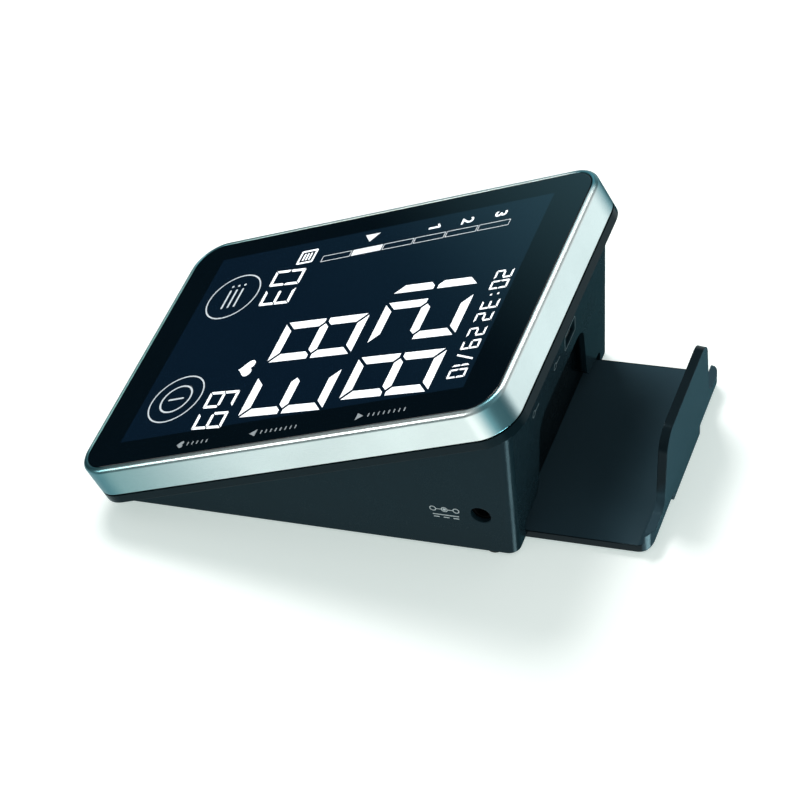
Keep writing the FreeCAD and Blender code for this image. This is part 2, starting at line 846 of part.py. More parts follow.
def add_bracket_rails(piece):
    """The roof and side walls of the bracket's channel, and the wall behind the lip's recess."""
    block = piece.flat(f"{FLOOR_TOP} - body_wall / 2")
    front, rear = f"({CHANNEL_FRONT} - rail_wall)", f"({EAR_STOP} + body_wall / 2)"
    rectangle(
        block, f"2 * ({RAIL_HALF} + rail_wall)", f"{rear} - {front}", y=f"({rear} + {front}) / 2"
    )
    piece.pad(block, f"{RAIL_TOP} - {FLOOR_TOP} + body_wall / 2")
    backing = piece.leaning("body_rear - body_wall / 2")
    bell(backing, "slide_gap + body_wall", f"{CHANNEL_TOP} + rail_wall / 2")
    piece.pad(backing, "lip_thickness + slide_gap + body_wall / 2")


def power_post_places():
    """Three corners of the power board, and the free side of the mains inlet in the fourth."""
    left, right = "-power_board_left + power_post_inset", "power_board_right - power_post_inset"
    front, rear = "power_board_front + power_post_inset", "power_board_rear - power_post_inset"
    yield left, front
    yield left, rear
    yield right, front
    yield f"{right} - jack_length", rear


def add_board_posts(piece):
    posts = piece.flat(f"{CHANNEL_TOP} + rail_wall / 2")
    circles(posts, "power_post", power_post_places())
    piece.pad(posts, f"power_board_under - {CHANNEL_TOP} - rail_wall / 2")
    usb_posts = piece.upright("usb_board_y")
    circles(usb_posts, "power_post", usb_post_places())
    reach = f"{rear_at('usb_z - power_post / 2', 'body_wall / 2')} - usb_board_y"
    piece.pad(usb_posts, reach, back=True)


def usb_post_places():
    for side in (-1, 1):
        yield f"usb_x + {side} * usb_post_spacing / 2", "usb_z"


def cradle_places():
    """The left faces of the two ribs that carry the pump's motor."""
    return ("motor_wall + cradle_thickness", "motor_length - 2 * cradle_thickness")


def add_pump_cradle(piece):
    for x in cradle_places():
        rib = piece.side(x)
        foot = f"{CHANNEL_TOP} + rail_wall / 2"
        rectangle(
            rib,
            "2 * cradle_half_width",
            f"pump_z - motor_diameter / 4 - ({foot})",
            x="pump_y",
            y=f"(pump_z - motor_diameter / 4 + {foot}) / 2",
        )
        piece.pad(rib, "cradle_thickness")
    seat = piece.side("motor_wall")
    circle(seat, "motor_diameter + 2 * fit_gap", "pump_y", "pump_z")
    piece.pocket(seat, "motor_length", back=True)


def cut_bracket_channel(piece):
    groove = piece.flat(FLOOR_TOP)
    length = f"{EAR_STOP} - {CHANNEL_FRONT}"
    rectangle(groove, f"2 * {RAIL_HALF}", length, y=f"({EAR_STOP} + {CHANNEL_FRONT}) / 2")
    piece.pocket(groove, f"{CHANNEL_TOP} - {FLOOR_TOP}", back=True)
    slot = piece.flat("0")
    rectangle(slot, f"2 * {CHANNEL_HALF}", BEYOND, y=f"{CHANNEL_FRONT} + {BEYOND} / 2")
    piece.pocket(slot, CHANNEL_TOP, back=True)
    recess = piece.leaning("body_rear")
    bell(recess, "slide_gap", "0")
    piece.pocket(recess, "lip_thickness + slide_gap", back=True)
    bend = piece.side("0")
    wall = f"body_rear + {TRAY_TOP} * {tangent('rear_lean')} - lip_thickness"
    leg = "inner_bend + slide_gap"
    outline(
        bend,
        [(wall, TRAY_TOP), (wall, f"{TRAY_TOP} + {leg}"), (f"{wall} - ({leg})", TRAY_TOP)],
    )
    piece.pocket(bend, f"2 * {CHANNEL_HALF}", both=True)


def cut_battery_bay(piece):
    piece.pocket(bay_profile(piece, "bay_wall"), "2 * bay_half_width", both=True)
    rebate = piece.flat("0")
    door_outline(rebate, "door_gap")
    piece.pocket(rebate, "foot_stand + door_thickness + fit_gap", back=True)
    hooks = piece.flat("foot_stand + door_thickness")
    for side in (-1, 1):
        rectangle(
            hooks,
            "hook_width + 4 * fit_gap",
            "bay_wall + 2 * hook_reach",
            x=f"{side} * hook_spacing",
            y="-bay_front - (bay_wall + hook_reach) / 2",
        )
    piece.pocket(hooks, "3 * hook_thickness", back=True)


def door_outline(sketch, grow="0"):
    """The battery door from below; it reaches a margin past the bay's walls."""
    length = f"bay_front + bay_rear + 2 * door_margin + 2 * ({grow})"
    rectangle(
        sketch,
        f"2 * (bay_half_width + door_margin + ({grow}))",
        length,
        y="(bay_rear - bay_front) / 2",
        corner="door_margin",
    )


def foot_places():
    for side in (-1, 1):
        yield f"{side} * front_foot_x", "-front_foot_y"
        yield f"{side} * rear_foot_x", "rear_foot_y"


def cut_screws_and_feet(piece):
    sinks = piece.flat("0")
    circles(sinks, "case_head + 2 * fit_gap", case_screw_places())
    piece.pocket(sinks, "foot_stand + case_head_sink", back=True)
    holes = piece.flat("0")
    circles(holes, "case_screw_hole", case_screw_places())
    piece.pocket(holes, "case_boss_height + fit_gap", back=True)
    feet = piece.flat("0")
    circles(feet, "foot_diameter", foot_places())
    piece.pocket(feet, "foot_stand + foot_sink", back=True)
    threads = piece.flat("power_board_under")
    circles(threads, "board_screw_hole", power_post_places())
    piece.pocket(threads, "power_screw_length - board_thickness + fit_gap")
    usb_threads = piece.upright("usb_board_y")
    circles(usb_threads, "board_screw_hole", usb_post_places())
    piece.pocket(usb_threads, "power_screw_length - board_thickness + fit_gap")


def cut_wall_openings(piece):
    """The mains inlet on the right, the cuff socket on the left and the data port at the rear."""
    jack = piece.side(f"{wall_half_width('jack_z', 'body_wall')} - body_wall")
    circle(jack, "jack_hole", "jack_y", "jack_z")
    piece.pocket(jack, "4 * body_wall", back=True)
    socket = piece.side(f"-{wall_half_width('pump_z', 'body_wall')} + body_wall")
    circle(socket, "socket_diameter + 2 * fit_gap", "air_y", "pump_z")
    piece.pocket(socket, "4 * body_wall")
    usb = piece.upright(rear_at("usb_z", "2 * body_wall"))
    rectangle(usb, "usb_width + 2 * fit_gap", "usb_height + 2 * fit_gap", x="usb_x", y="usb_z")
    piece.pocket(usb, "4 * body_wall")


# ---- Cuff bracket -----------------------------------------------------------------------------


def bend_places(radius, depth, z):
    """Where a bend between the tray and the lip leaves the tray, and where it joins the lip."""
    lean = "rear_lean"
    inset = f"({depth} + {radius} - ({z} + {radius}) * {sine(lean)})"
    centre = f"({TRAY_REAR} - {inset} / {cosine(lean)})"
    return (centre, z), (
        f"{centre} + {radius} * {cosine(lean)}",
        f"{z} + {radius} - {radius} * {sine(lean)}",
    )


def make_cuff_bracket():
    """The tray, the upright lip that bends up out of it, the heel it stands on and its ears."""
    piece = Piece("cuff_bracket")
    tray_end, lip_foot = bend_places("bend_radius", "0", "tray_under")
    inner_tray_end, inner_lip_foot = bend_places("inner_bend", "lip_thickness", TRAY_TOP)
    lean_sine, lean_cosine = sine("rear_lean"), cosine("rear_lean")
    lip_top = (f"{TRAY_REAR} + lip_height * {lean_sine}", f"lip_height * {lean_cosine}")
    profile = piece.side("0")
    outline(
        profile,
        [
            (TRAY_FRONT, "tray_under"),
            (*tray_end, "bend_radius", LEFT),
            lip_foot,
            lip_top,
            (
                f"{lip_top[0]} - lip_thickness * {lean_cosine}",
                f"{lip_top[1]} + lip_thickness * {lean_sine}",
            ),
            (*inner_lip_foot, "inner_bend", RIGHT),
            inner_tray_end,
            (TRAY_FRONT, TRAY_TOP),
        ],
    )
    piece.pad(profile, "2 * tray_half_width", both=True)
    beside = piece.leaning(TRAY_REAR)
    right = [
        *lip_side(),
        ("lip_half_width - lip_corner", "2 * lip_height"),
        (BEYOND, "2 * lip_height"),
        (BEYOND, "rim_height - rim_end_radius"),
    ]
    outline(beside, right)
    outline(beside, walked_back(right))
    piece.pocket(beside, "2 * lip_thickness", back=True)
    corners = piece.lying()
    edge = f"{TRAY_REAR} * {cosine('rear_lean')}"
    near, far = "tray_half_width - tray_corner", "tray_half_width + tray_corner"
    for hand, side in ((1, RIGHT), (-1, LEFT)):
        outline(
            corners,
            [
                (f"{hand} * ({near})", edge, "tray_corner", side),
                (f"{hand} * tray_half_width", f"{edge} - tray_corner"),
                (f"{hand} * ({far})", f"{edge} - tray_corner"),
                (f"{hand} * ({far})", f"{edge} + tray_corner"),
                (f"{hand} * ({near})", f"{edge} + tray_corner"),
            ],
        )
    piece.pocket(corners, "2 * lip_height", both=True)
    ears = piece.flat(f"{FLOOR_TOP} + slide_gap / 2")
    rectangle(
        ears,
        "2 * (tray_half_width + ear_reach)",
        "ear_length",
        y=f"{EAR_STOP} - slide_gap - ear_length / 2",
    )
    piece.pad(ears, f"{TRAY_TOP} - {FLOOR_TOP} - slide_gap / 2")
    heel = piece.side("0")
    heel_top = f"{TRAY_REAR} + heel_height * {tangent('rear_lean')}"
    depth = f"lip_thickness / {lean_cosine}"
    outline(
        heel,
        [
            (TRAY_REAR, "0"),
            (heel_top, "heel_height"),
            (f"{heel_top} - {depth}", "heel_height"),
            (f"{TRAY_REAR} - {depth}", "0"),
        ],
    )
    piece.pad(heel, "2 * heel_half_width", both=True)


# ---- Batteries, feet and case screws ----------------------------------------------------------


def make_battery_door():
    piece = Piece("battery_door")
    panel = piece.flat("foot_stand")
    door_outline(panel)
    piece.pad(panel, "door_thickness")
    top, front = "foot_stand + door_thickness", "-bay_front"
    nose_under = f"{top} + fit_gap"
    for side in (-1, 1):
        hook = piece.side(f"{side} * hook_spacing")
        outline(
            hook,
            [
                (front, f"{top} - door_thickness / 2"),
                (front, f"{nose_under} + hook_thickness"),
                (f"{front} - door_margin - hook_reach", f"{nose_under} + hook_thickness"),
                (f"{front} - door_margin - hook_reach", nose_under),
                (f"{front} - door_margin", nose_under),
                (f"{front} - door_margin", f"{top} - door_thickness / 2"),
            ],
        )
        piece.pad(hook, "hook_width", both=True)
    latch = piece.flat(f"{top} - door_thickness / 2")
    rectangle(latch, "latch_width", "latch_thickness", y="bay_rear - latch_gap - latch_thickness / 2")
    piece.pad(latch, "latch_height + door_thickness / 2")
    grip = piece.flat("foot_stand")
    rectangle(grip, "grip_width", "grip_length", y="bay_rear - grip_length", corner="door_thickness")
    piece.pocket(grip, "door_thickness / 2", back=True)


def cell_places():
    """Each cell's y, and the end to which its tip points."""
    for i in range(4):
        yield f"-bay_front + cell_diameter / 2 + cell_gap + {i} * cell_pitch", (-1) ** i


CELL_Z = "(cell_under + cell_diameter / 2)"
CELL_TIP_X = "(bay_half_width - contact_thickness)"
CELL_FOOT_X = f"({CELL_TIP_X} - cell_length)"


def make_battery_cells():
    piece = Piece("battery_cells")
    shoulder, radius = f"{CELL_TIP_X} - cell_tip", "cell_diameter / 2"
    for y, side in cell_places():
        profile = [
            (CELL_FOOT_X, "0"),
            (CELL_FOOT_X, f"{radius} - cell_edge"),
            (f"{CELL_FOOT_X} + cell_edge", radius),
            (f"{shoulder} - cell_edge", radius),
            (shoulder, f"{radius} - cell_edge"),
            (shoulder, "cell_tip_diameter / 2"),
            (CELL_TIP_X, "cell_tip_diameter / 2"),
            (CELL_TIP_X, "0"),
        ]
        piece.turned([(f"{side} * ({x})", r) for x, r in profile], y, CELL_Z)


def make_battery_contacts():
    plates = Piece("battery_contact_plates")
    for x in ("-bay_half_width", "bay_half_width - contact_thickness"):
        sketch = plates.side(x)
        for y, _ in cell_places():
            rectangle(sketch, "contact_width", "contact_height", x=y, y=CELL_Z)
        plates.pad(sketch, "contact_thickness")
    springs = Piece("battery_contact_springs")
    for y, side in cell_places():
        start = f"-{CELL_TIP_X}" if side > 0 else f"-{CELL_FOOT_X}"
        length = f"({CELL_TIP_X} + {CELL_FOOT_X} - spring_wire)"
        first = f"{start} + spring_wire / 2"
        springs.coil("spring_wire", "spring_coil", "spring_pitch", length, first, y, CELL_Z)


def make_feet_and_case_screws():
    feet = Piece("rubber_feet")
    sketch = feet.flat("0")
    circles(sketch, "foot_diameter - 2 * fit_gap", foot_places())
    feet.pad(sketch, "foot_stand + foot_sink")
    screws = Piece("housing_screws")
    heads = screws.flat("foot_stand + case_head_sink - case_head_height")
    circles(heads, "case_head", case_screw_places())
    screws.pad(heads, "case_head_height")
    shafts = screws.flat("foot_stand + case_head_sink")
    circles(shafts, "case_screw", case_screw_places())
    screws.pad(shafts, "case_screw_length")
    drives = screws.flat("foot_stand + case_head_sink - case_head_height")
    for x, y in case_screw_places():
        rectangle(drives, "drive_width", "drive_length", x=x, y=y)
    screws.pocket(drives, "case_head_height / 2", back=True)


# ---- Power board, its inlets and what stands on it --------------------------------------------


def make_power_board():
    board = Piece("power_board")
    sketch = board.flat("power_board_under")
    rectangle(
        sketch,
        "power_board_left + power_board_right",
        "power_board_rear - power_board_front",
        x="(power_board_right - power_board_left) / 2",
        y="(power_board_rear + power_board_front) / 2",
    )
    circles(sketch, "board_screw_hole", power_post_places())
    board.pad(sketch, "board_thickness")
    screws = Piece("power_board_screws")
    shafts = screws.flat(f"{POWER_TOP} - power_screw_length")
    circles(shafts, "board_screw", power_post_places())
    screws.pad(shafts, "power_screw_length")
    heads = screws.flat(POWER_TOP)
    circles(heads, "board_screw_head", power_post_places())
    screws.pad(heads, "board_screw_head_height")


def make_dc_jack():
    mouth = f"({wall_half_width('jack_z', 'body_wall')} - 3 * fit_gap)"
    jack = Piece("dc_jack")
    block = jack.flat(POWER_TOP)
    rectangle(block, "jack_length", "jack_width", x=f"{mouth} - jack_length / 2", y="jack_y")
    jack.pad(block, "jack_height")
    bore = jack.side(mouth)
    circle(bore, "jack_bore", "jack_y", "jack_z")
    jack.pocket(bore, "jack_bore_depth")
    pin = Piece("dc_jack_pin")
    sketch = pin.side(f"{mouth} - jack_bore_depth")
    circle(sketch, "jack_pin", "jack_y", "jack_z")
    pin.pad(sketch, "jack_pin_length")


def make_usb_port():
    board = Piece("usb_board")
    sketch = board.upright("usb_board_y")
    rectangle(sketch, "usb_board_width", "usb_board_height", x="usb_x", y="usb_z")
    circles(sketch, "board_screw_hole", usb_post_places())
    board.pad(sketch, "board_thickness")
    mouth = "usb_board_y + usb_depth"
    socket = Piece("usb_socket")
    shell = socket.upright(mouth)
    rectangle(shell, "usb_width", "usb_height", x="usb_x", y="usb_z", corner="usb_wall * 2")
    socket.pad(shell, "usb_depth")
    hollow = socket.upright(mouth)
    inner = ("usb_width - 2 * usb_wall", "usb_height - 2 * usb_wall")
    rectangle(hollow, *inner, x="usb_x", y="usb_z", corner="usb_wall")
    socket.pocket(hollow, "usb_depth - 2 * usb_wall", back=True)
    tongue = Piece("usb_tongue")
    blade = tongue.upright(f"{mouth} - 4 * usb_wall")
    rectangle(blade, "usb_width - 6 * usb_wall", "usb_tongue", x="usb_x", y="usb_z")
    tongue.pad(blade, "usb_depth - 6 * usb_wall")
    screws = Piece("usb_board_screws")
    shafts = screws.upright("usb_board_y - board_thickness + power_screw_length")
    circles(shafts, "board_screw", usb_post_places())
    screws.pad(shafts, "power_screw_length")
    heads = screws.upright("usb_board_y - board_thickness")
    circles(heads, "board_screw_head", usb_post_places())
    screws.pad(heads, "board_screw_head_height")


def make_board_furniture():
    """The buzzer, the regulators and the ribbon up to the main board."""
    buzzer = Piece("buzzer")
    can = buzzer.flat(POWER_TOP)
    circle(can, "buzzer_diameter", "buzzer_x", "buzzer_y")
    buzzer.pad(can, "buzzer_height")
    hole = buzzer.flat(f"{POWER_TOP} + buzzer_height")
    circle(hole, "buzzer_hole", "buzzer_x", "buzzer_y")
    buzzer.pocket(hole, "buzzer_hole")
    regulators = Piece("power_chips")
    blocks = regulators.flat(POWER_TOP)
    for i in range(2):
        place = f"regulator_x - {i} * 2 * regulator"
        rectangle(blocks, "regulator", "regulator", x=place, y="buzzer_y")
    regulators.pad(blocks, "chip_thickness")
    ribbon = Piece("ribbon_cable")
    foot = ribbon.flat(POWER_TOP)
    rectangle(foot, "ribbon_width", "ribbon_thickness", x="ribbon_x", y="ribbon_y")
    top = height_at("ribbon_y - ribbon_thickness / 2", BOARD_UNDER)
    ribbon.pad(foot, f"{top} - {POWER_TOP}")


# ---- Pump -------------------------------------------------------------------------------------


def make_pump_motor():
    can = Piece("pump_motor_can")
    bore, radius = "motor_shaft_hole / 2", "motor_diameter / 2"
    can.turned(
        [
            ("0", bore),
            ("0", radius),
            ("motor_length", radius),
            ("motor_length", f"{radius} - motor_wall"),
            ("motor_wall", f"{radius} - motor_wall"),
            ("motor_wall", bore),
        ],
        "pump_y",
        "pump_z",
    )
    cap = Piece("pump_motor_end_cap")
    spigot = f"{radius} - motor_wall - snug_gap"
    cap.turned(
        [
            ("-motor_wall", f"{spigot} - motor_wall"),
            ("-motor_wall", spigot),
            ("0", spigot),
            ("0", radius),
            ("end_cap_thickness", radius),
            ("end_cap_thickness", "0"),
            ("end_cap_thickness / 2 + 2 * snug_gap", "0"),
            ("end_cap_thickness / 2 + 2 * snug_gap", bore),
            ("0", bore),
            ("0", f"{spigot} - motor_wall"),
        ],
        "pump_y",
        "pump_z",
        "motor_length",
    )
    magnets = Piece("pump_motor_magnets")
    sketch = magnets.side("motor_wall + magnet_offset")
    ring(
        sketch,
        "motor_diameter - 2 * motor_wall",
        "motor_diameter - 2 * motor_wall - 2 * magnet_thickness",
        "pump_y",
        "pump_z",
    )
    magnets.pad(sketch, "magnet_length")
    split = magnets.side("motor_wall + magnet_offset")
    rectangle(split, "magnet_split", "2 * motor_diameter", x="pump_y", y="pump_z")
    magnets.pocket(split, "magnet_length", back=True)


def make_pump_drive():
    rotor = Piece("pump_rotor")
    shaft, armature = "motor_shaft / 2", "armature_diameter / 2"
    start = "motor_wall + magnet_offset + (magnet_length - armature_length) / 2"
    stop = f"{start} + armature_length"
    rotor.turned(
        [
            ("-shaft_reach", "0"),
            ("-shaft_reach", shaft),
            (start, shaft),
            (start, armature),
            (stop, armature),
            (stop, "commutator_diameter / 2"),
            (f"{stop} + commutator_length", "commutator_diameter / 2"),
            (f"{stop} + commutator_length", shaft),
            ("motor_length + end_cap_thickness / 2", shaft),
            ("motor_length + end_cap_thickness / 2", "0"),
        ],
        "pump_y",
        "pump_z",
    )
    eccentric = Piece("pump_eccentric")
    face = "-head_wall - head_gap - eccentric_length"
    disc = eccentric.side(face)
    circle(disc, "eccentric_diameter", "pump_y", "pump_z")
    eccentric.pad(disc, "eccentric_length")
    bore = eccentric.side("-shaft_reach")
    circle(bore, "motor_shaft", "pump_y", "pump_z")
    eccentric.pocket(bore, "eccentric_length", back=True)
    pin = eccentric.side(f"{face} - crank_pin_length")
    circle(pin, "crank_pin", "pump_y + eccentric_throw", "pump_z")
    eccentric.pad(pin, "crank_pin_length")


def pump_square(piece, x, width):
    sketch = piece.side(x)
    rectangle(sketch, width, width, x="pump_y", y="pump_z")
    return sketch


def stems(sketch):
    for i in range(3):
        angle = f"(90 + {i} * 120)"
        x = f"pump_y + stem_circle * {cosine(angle)}"
        circle(sketch, "stem_diameter", x, f"pump_z + stem_circle * {sine(angle)}")


def make_pump_head():
    head = Piece("pump_head_housing")
    head.pad(pump_square(head, "-head_length", "head_width"), "head_length")
    hollow = pump_square(head, "-head_length", "head_width - 2 * head_wall")
    head.pocket(hollow, "head_length - head_wall", back=True)
    hole = head.side("0")
    circle(hole, "2 * motor_shaft", "pump_y", "pump_z")
    head.pocket(hole, "head_wall")
    rocker = Piece("pump_rocker")
    disc = rocker.side("-head_length + stem_length")
    ring(disc, "rocker_diameter", "rocker_hole", "pump_y", "pump_z")
    rocker.pad(disc, "rocker_thickness")
    diaphragm = Piece("pump_diaphragm")
    sheet_face = "-head_length - diaphragm_thickness"
    diaphragm.pad(pump_square(diaphragm, sheet_face, "head_width"), "diaphragm_thickness")
    feet = diaphragm.side("-head_length")
    stems(feet)
    diaphragm.pad(feet, "stem_length")
    cover = Piece("pump_head_cover")
    outer = f"{sheet_face} - cover_length"
    cover.pad(pump_square(cover, outer, "head_width"), "cover_length")
    nipple(cover, outer, "pump_y", "pump_z", -1)
    chamber = pump_square(cover, sheet_face, "head_width - 4 * head_wall")
    cover.pocket(chamber, "cover_length - 2 * head_wall")
    passage = cover.side(f"{outer} - nipple_length")
    circle(passage, "nipple_bore", "pump_y", "pump_z")
    cover.pocket(passage, "nipple_length + 3 * head_wall", back=True)


def nipple(piece, root, y, z, side):
    """A hose nipple that points along X from its root; its bore is cut later."""
    sketch = piece.side(root)
    circle(sketch, "nipple_diameter", y, z)
    piece.pad(sketch, "nipple_length", back=side < 0)


def make_pump_strap():
    """The sheet-metal band that holds the motor down on its two ribs."""
    piece = Piece("pump_strap")
    sketch = piece.side("strap_x")
    inner, outer = "(motor_diameter / 2 + fit_gap)", "(motor_diameter / 2 + fit_gap + strap_thickness)"
    foot, foot_top = RAIL_TOP, f"{RAIL_TOP} + strap_thickness"
    outline(
        sketch,
        [
            (f"pump_y + {inner}", foot),
            (f"pump_y + {outer} + strap_foot", foot),
            (f"pump_y + {outer} + strap_foot", foot_top),
            (f"pump_y + {outer}", foot_top),
            (f"pump_y + {outer}", "pump_z", outer, LEFT),
            ("pump_y", f"pump_z + {outer}", outer, LEFT),
            (f"pump_y - {outer}", "pump_z"),
            (f"pump_y - {outer}", foot_top),
            (f"pump_y - {outer} - strap_foot", foot_top),
            (f"pump_y - {outer} - strap_foot", foot),
            (f"pump_y - {inner}", foot),
            (f"pump_y - {inner}", "pump_z", inner, RIGHT),
            ("pump_y", f"pump_z + {inner}", inner, RIGHT),
            (f"pump_y + {inner}", "pump_z"),
        ],
    )
    piece.pad(sketch, "strap_width")


# ---- Air path ---------------------------------------------------------------------------------


def make_air_manifold():
    piece = Piece("air_manifold")
    rear, radius = "air_y + manifold_end", "manifold_diameter / 2"
    length = f"({rear} - pump_y + manifold_end)"
    body = piece.upright(rear)
    circle(body, "manifold_diameter", "air_x", "pump_z")
    piece.pad(body, length)
    rear_nipple = piece.upright(f"{rear} + nipple_length")
    circle(rear_nipple, "nipple_diameter", "air_x", "pump_z")
    piece.pad(rear_nipple, "nipple_length")
    # Each side nipple starts a little inside the round body, so that the two join.
    for y, side in (("pump_y", 1), ("air_y", 1), ("air_y", -1)):
        arm = piece.side("air_x")
        circle(arm, "nipple_diameter", y, "pump_z")
        piece.pad(arm, f"{radius} + nipple_length", back=side < 0)
    gallery = piece.upright(f"{rear} + nipple_length")
    circle(gallery, "nipple_bore", "air_x", "pump_z")
    piece.pocket(gallery, f"{rear} + nipple_length - pump_y", back=True)
    for y, side in (("pump_y", 1), ("air_y", 1), ("air_y", -1)):
        arm = piece.side("air_x")
        circle(arm, "nipple_bore", y, "pump_z")
        piece.pocket(arm, f"{radius} + nipple_length", back=side > 0)


def make_straight_tube(label, left, right, y):
    """A hose pushed over two nipples that face each other along X."""
    piece = Piece(label)
    start = f"({left} + tube_root_gap)"
    sketch = piece.side(start)
    bore = "nipple_diameter + 2 * snug_gap"
    ring(sketch, f"{bore} + 2 * tube_wall", bore, y, "pump_z")
    piece.pad(sketch, f"{right} - tube_root_gap - {start}")


SOCKET_END = f"(-{wall_half_width('pump_z')} - socket_proud)"
SOCKET_ROOT = f"({SOCKET_END} + socket_bore_depth + motor_wall)"


def make_air_tubes():
    manifold_right = "(air_x + manifold_diameter / 2)"
    manifold_left = "(air_x - manifold_diameter / 2)"
    make_straight_tube("pump_air_tube", manifold_right, "valve_left", "pump_y")
    make_straight_tube("valve_air_tube", manifold_right, "valve_left", "air_y")
    make_straight_tube("socket_air_tube", SOCKET_ROOT, manifold_left, "air_y")
    tube = Piece("sensor_air_tube")
    bore = "nipple_diameter + 2 * snug_gap"
    start = "air_y + manifold_end + tube_root_gap"
    profile = tube.upright(start)
    ring(profile, f"{bore} + 2 * tube_wall", bore, "air_x", "pump_z")
    path = tube.side("air_x")
    places = [
        FreeCAD.Vector(value(y), value(z), 0)
        for y, z in (
            (start, "pump_z"),
            ("sensor_y - tube_bend", "pump_z"),
            ("sensor_y", "pump_z - tube_bend"),
            ("sensor_y", f"{POWER_TOP} + sensor_height + tube_root_gap"),
        )
    ]
    path.addGeometry(Part.LineSegment(*places[:2]))
    arc, (first, last) = round_between(*places[1:3], value("tube_bend"), RIGHT)
    path.addGeometry(arc)
    path.addGeometry(Part.LineSegment(*places[2:]))
    path.addConstraint(Sketcher.Constraint("Coincident", 0, END, 1, first))
    path.addConstraint(Sketcher.Constraint("Coincident", 1, last, 2, START))
    radius = path.addConstraint(Sketcher.Constraint("Radius", 1, value("tube_bend")))
    bind(path, f"Constraints[{radius}]", "tube_bend")
    locate(path, 0, START, start, "pump_z")
    locate(path, 0, END, "sensor_y - tube_bend", "pump_z")
    locate(path, 2, START, "sensor_y", "pump_z - tube_bend")
    locate(path, 2, END, "sensor_y", f"{POWER_TOP} + sensor_height + tube_root_gap")
    tube.swept(profile, path)


def make_pressure_sensor():
    piece = Piece("pressure_sensor")
    case = piece.flat(POWER_TOP)
    rectangle(case, "sensor_size", "sensor_size", x="air_x", y="sensor_y")
    piece.pad(case, "sensor_height")
    port = piece.flat(f"{POWER_TOP} + sensor_height")
    circle(port, "nipple_diameter", "air_x", "sensor_y")
    piece.pad(port, "sensor_port")
    bore = piece.flat(f"{POWER_TOP} + sensor_height + sensor_port")
    circle(bore, "nipple_bore", "air_x", "sensor_y")
    piece.pocket(bore, "sensor_port")


def make_cuff_socket():
    piece = Piece("cuff_socket")
    body, nose = "socket_diameter / 2", "nipple_diameter / 2"
    flange = f"(-{wall_half_width('pump_z', 'body_wall')} + 3 * fit_gap)"
    piece.turned(
        [
            (SOCKET_END, "socket_bore / 2"),
            (SOCKET_END, body),
            (flange, body),
            (flange, "socket_flange / 2"),
            (f"{flange} + socket_flange_thickness", "socket_flange / 2"),
            (f"{flange} + socket_flange_thickness", body),
            (SOCKET_ROOT, body),
            (SOCKET_ROOT, nose),
            (f"{SOCKET_ROOT} + nipple_length", nose),
            (f"{SOCKET_ROOT} + nipple_length", "nipple_bore / 2"),
            (f"{SOCKET_END} + socket_bore_depth", "nipple_bore / 2"),
            (f"{SOCKET_END} + socket_bore_depth", "socket_bore / 2"),
        ],
        "air_y",
        "pump_z",
    )


def make_release_valve():
    frame = Piece("valve_frame")
    left, right, foot = "valve_left", "valve_left + valve_length", POWER_TOP
    top = "pump_z + valve_half_height"
    sketch = frame.upright("air_y + valve_width / 2")
    outline(
        sketch,
        [
            (left, foot),
            (right, foot),
            (right, top),
            (f"{right} - valve_plate", top),
            (f"{right} - valve_plate", f"{foot} + valve_plate"),
            (f"{left} + valve_plate", f"{foot} + valve_plate"),
            (f"{left} + valve_plate", top),
            (left, top),
        ],
    )
    frame.pad(sketch, "valve_width")
    holes = frame.side(left)
    circle(holes, "coil_bore", "air_y", "pump_z")
    frame.pocket(holes, "valve_length", back=True)
    coil = Piece("valve_coil")
    sketch = coil.side(f"{left} + valve_plate")
    ring(sketch, "coil_diameter", "coil_bore", "air_y", "pump_z")
    coil.pad(sketch, "valve_length - 2 * valve_plate")
    nozzle = Piece("valve_nozzle")
    seat = f"{left} + nozzle_length"
    nozzle.turned(
        [
            (f"{left} - nipple_length", "nipple_bore / 2"),
            (f"{left} - nipple_length", "nipple_diameter / 2"),
            (left, "nipple_diameter / 2"),
            (left, "coil_bore / 2 - snug_gap"),
            (seat, "coil_bore / 2 - snug_gap"),
            (seat, "nipple_bore / 2"),
        ],
        "air_y",
        "pump_z",
    )
    plunger = Piece("valve_plunger")
    nose, head = f"{seat} + plunger_travel", f"{right} + valve_spring_length"
    plunger.turned(
        [
            (nose, "0"),
            (nose, "plunger_diameter / 2"),
            (head, "plunger_diameter / 2"),
            (head, "plunger_head / 2"),
            (f"{head} + valve_plate", "plunger_head / 2"),
            (f"{head} + valve_plate", "0"),
        ],
        "air_y",
        "pump_z",
    )
    spring = Piece("valve_spring")
    length, first = "valve_spring_length - valve_wire", f"{right} + valve_wire / 2"
    spring.coil(
        "valve_wire", "plunger_head", "valve_spring_pitch", length, first, "air_y", "pump_z"
    )


def write_pieces():
    """Checks every object of the document, then writes one file for each sub-part."""
    document.recompute()
    failed = [o.Label for o in document.Objects if {"Invalid", "Error"} & set(o.State)]
    shapes = {label: body.Shape for label, body in Piece.made.items()}
    failed += [label for label, shape in shapes.items() if shape.isNull() or not shape.isValid()]
    if failed:
        raise RuntimeError(f"these failed to build: {', '.join(failed)}")
    os.makedirs("parts", exist_ok=True)
    for label, shape in shapes.items():
        shape.exportStep(f"parts/{label}.step")


make_trim_frame()
make_display_stack()
make_lcd_holder()
make_contact_strips()
make_main_board()
make_board_chips()
make_board_screws()
make_upper_housing()
make_lower_housing()
make_cuff_bracket()
make_battery_door()
make_battery_cells()
make_battery_contacts()
make_feet_and_case_screws()
make_power_board()
make_dc_jack()
make_usb_port()
make_board_furniture()
make_pump_motor()
make_pump_drive()
make_pump_head()
make_pump_strap()
make_air_manifold()
make_air_tubes()
make_pressure_sensor()
make_cuff_socket()
make_release_valve()
write_pieces()
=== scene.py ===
import json
import math
from typing import NamedTuple

import bpy
import numpy as np
from bpy.props import FloatProperty, FloatVectorProperty, PointerProperty, StringProperty
from mathutils import Matrix, Vector


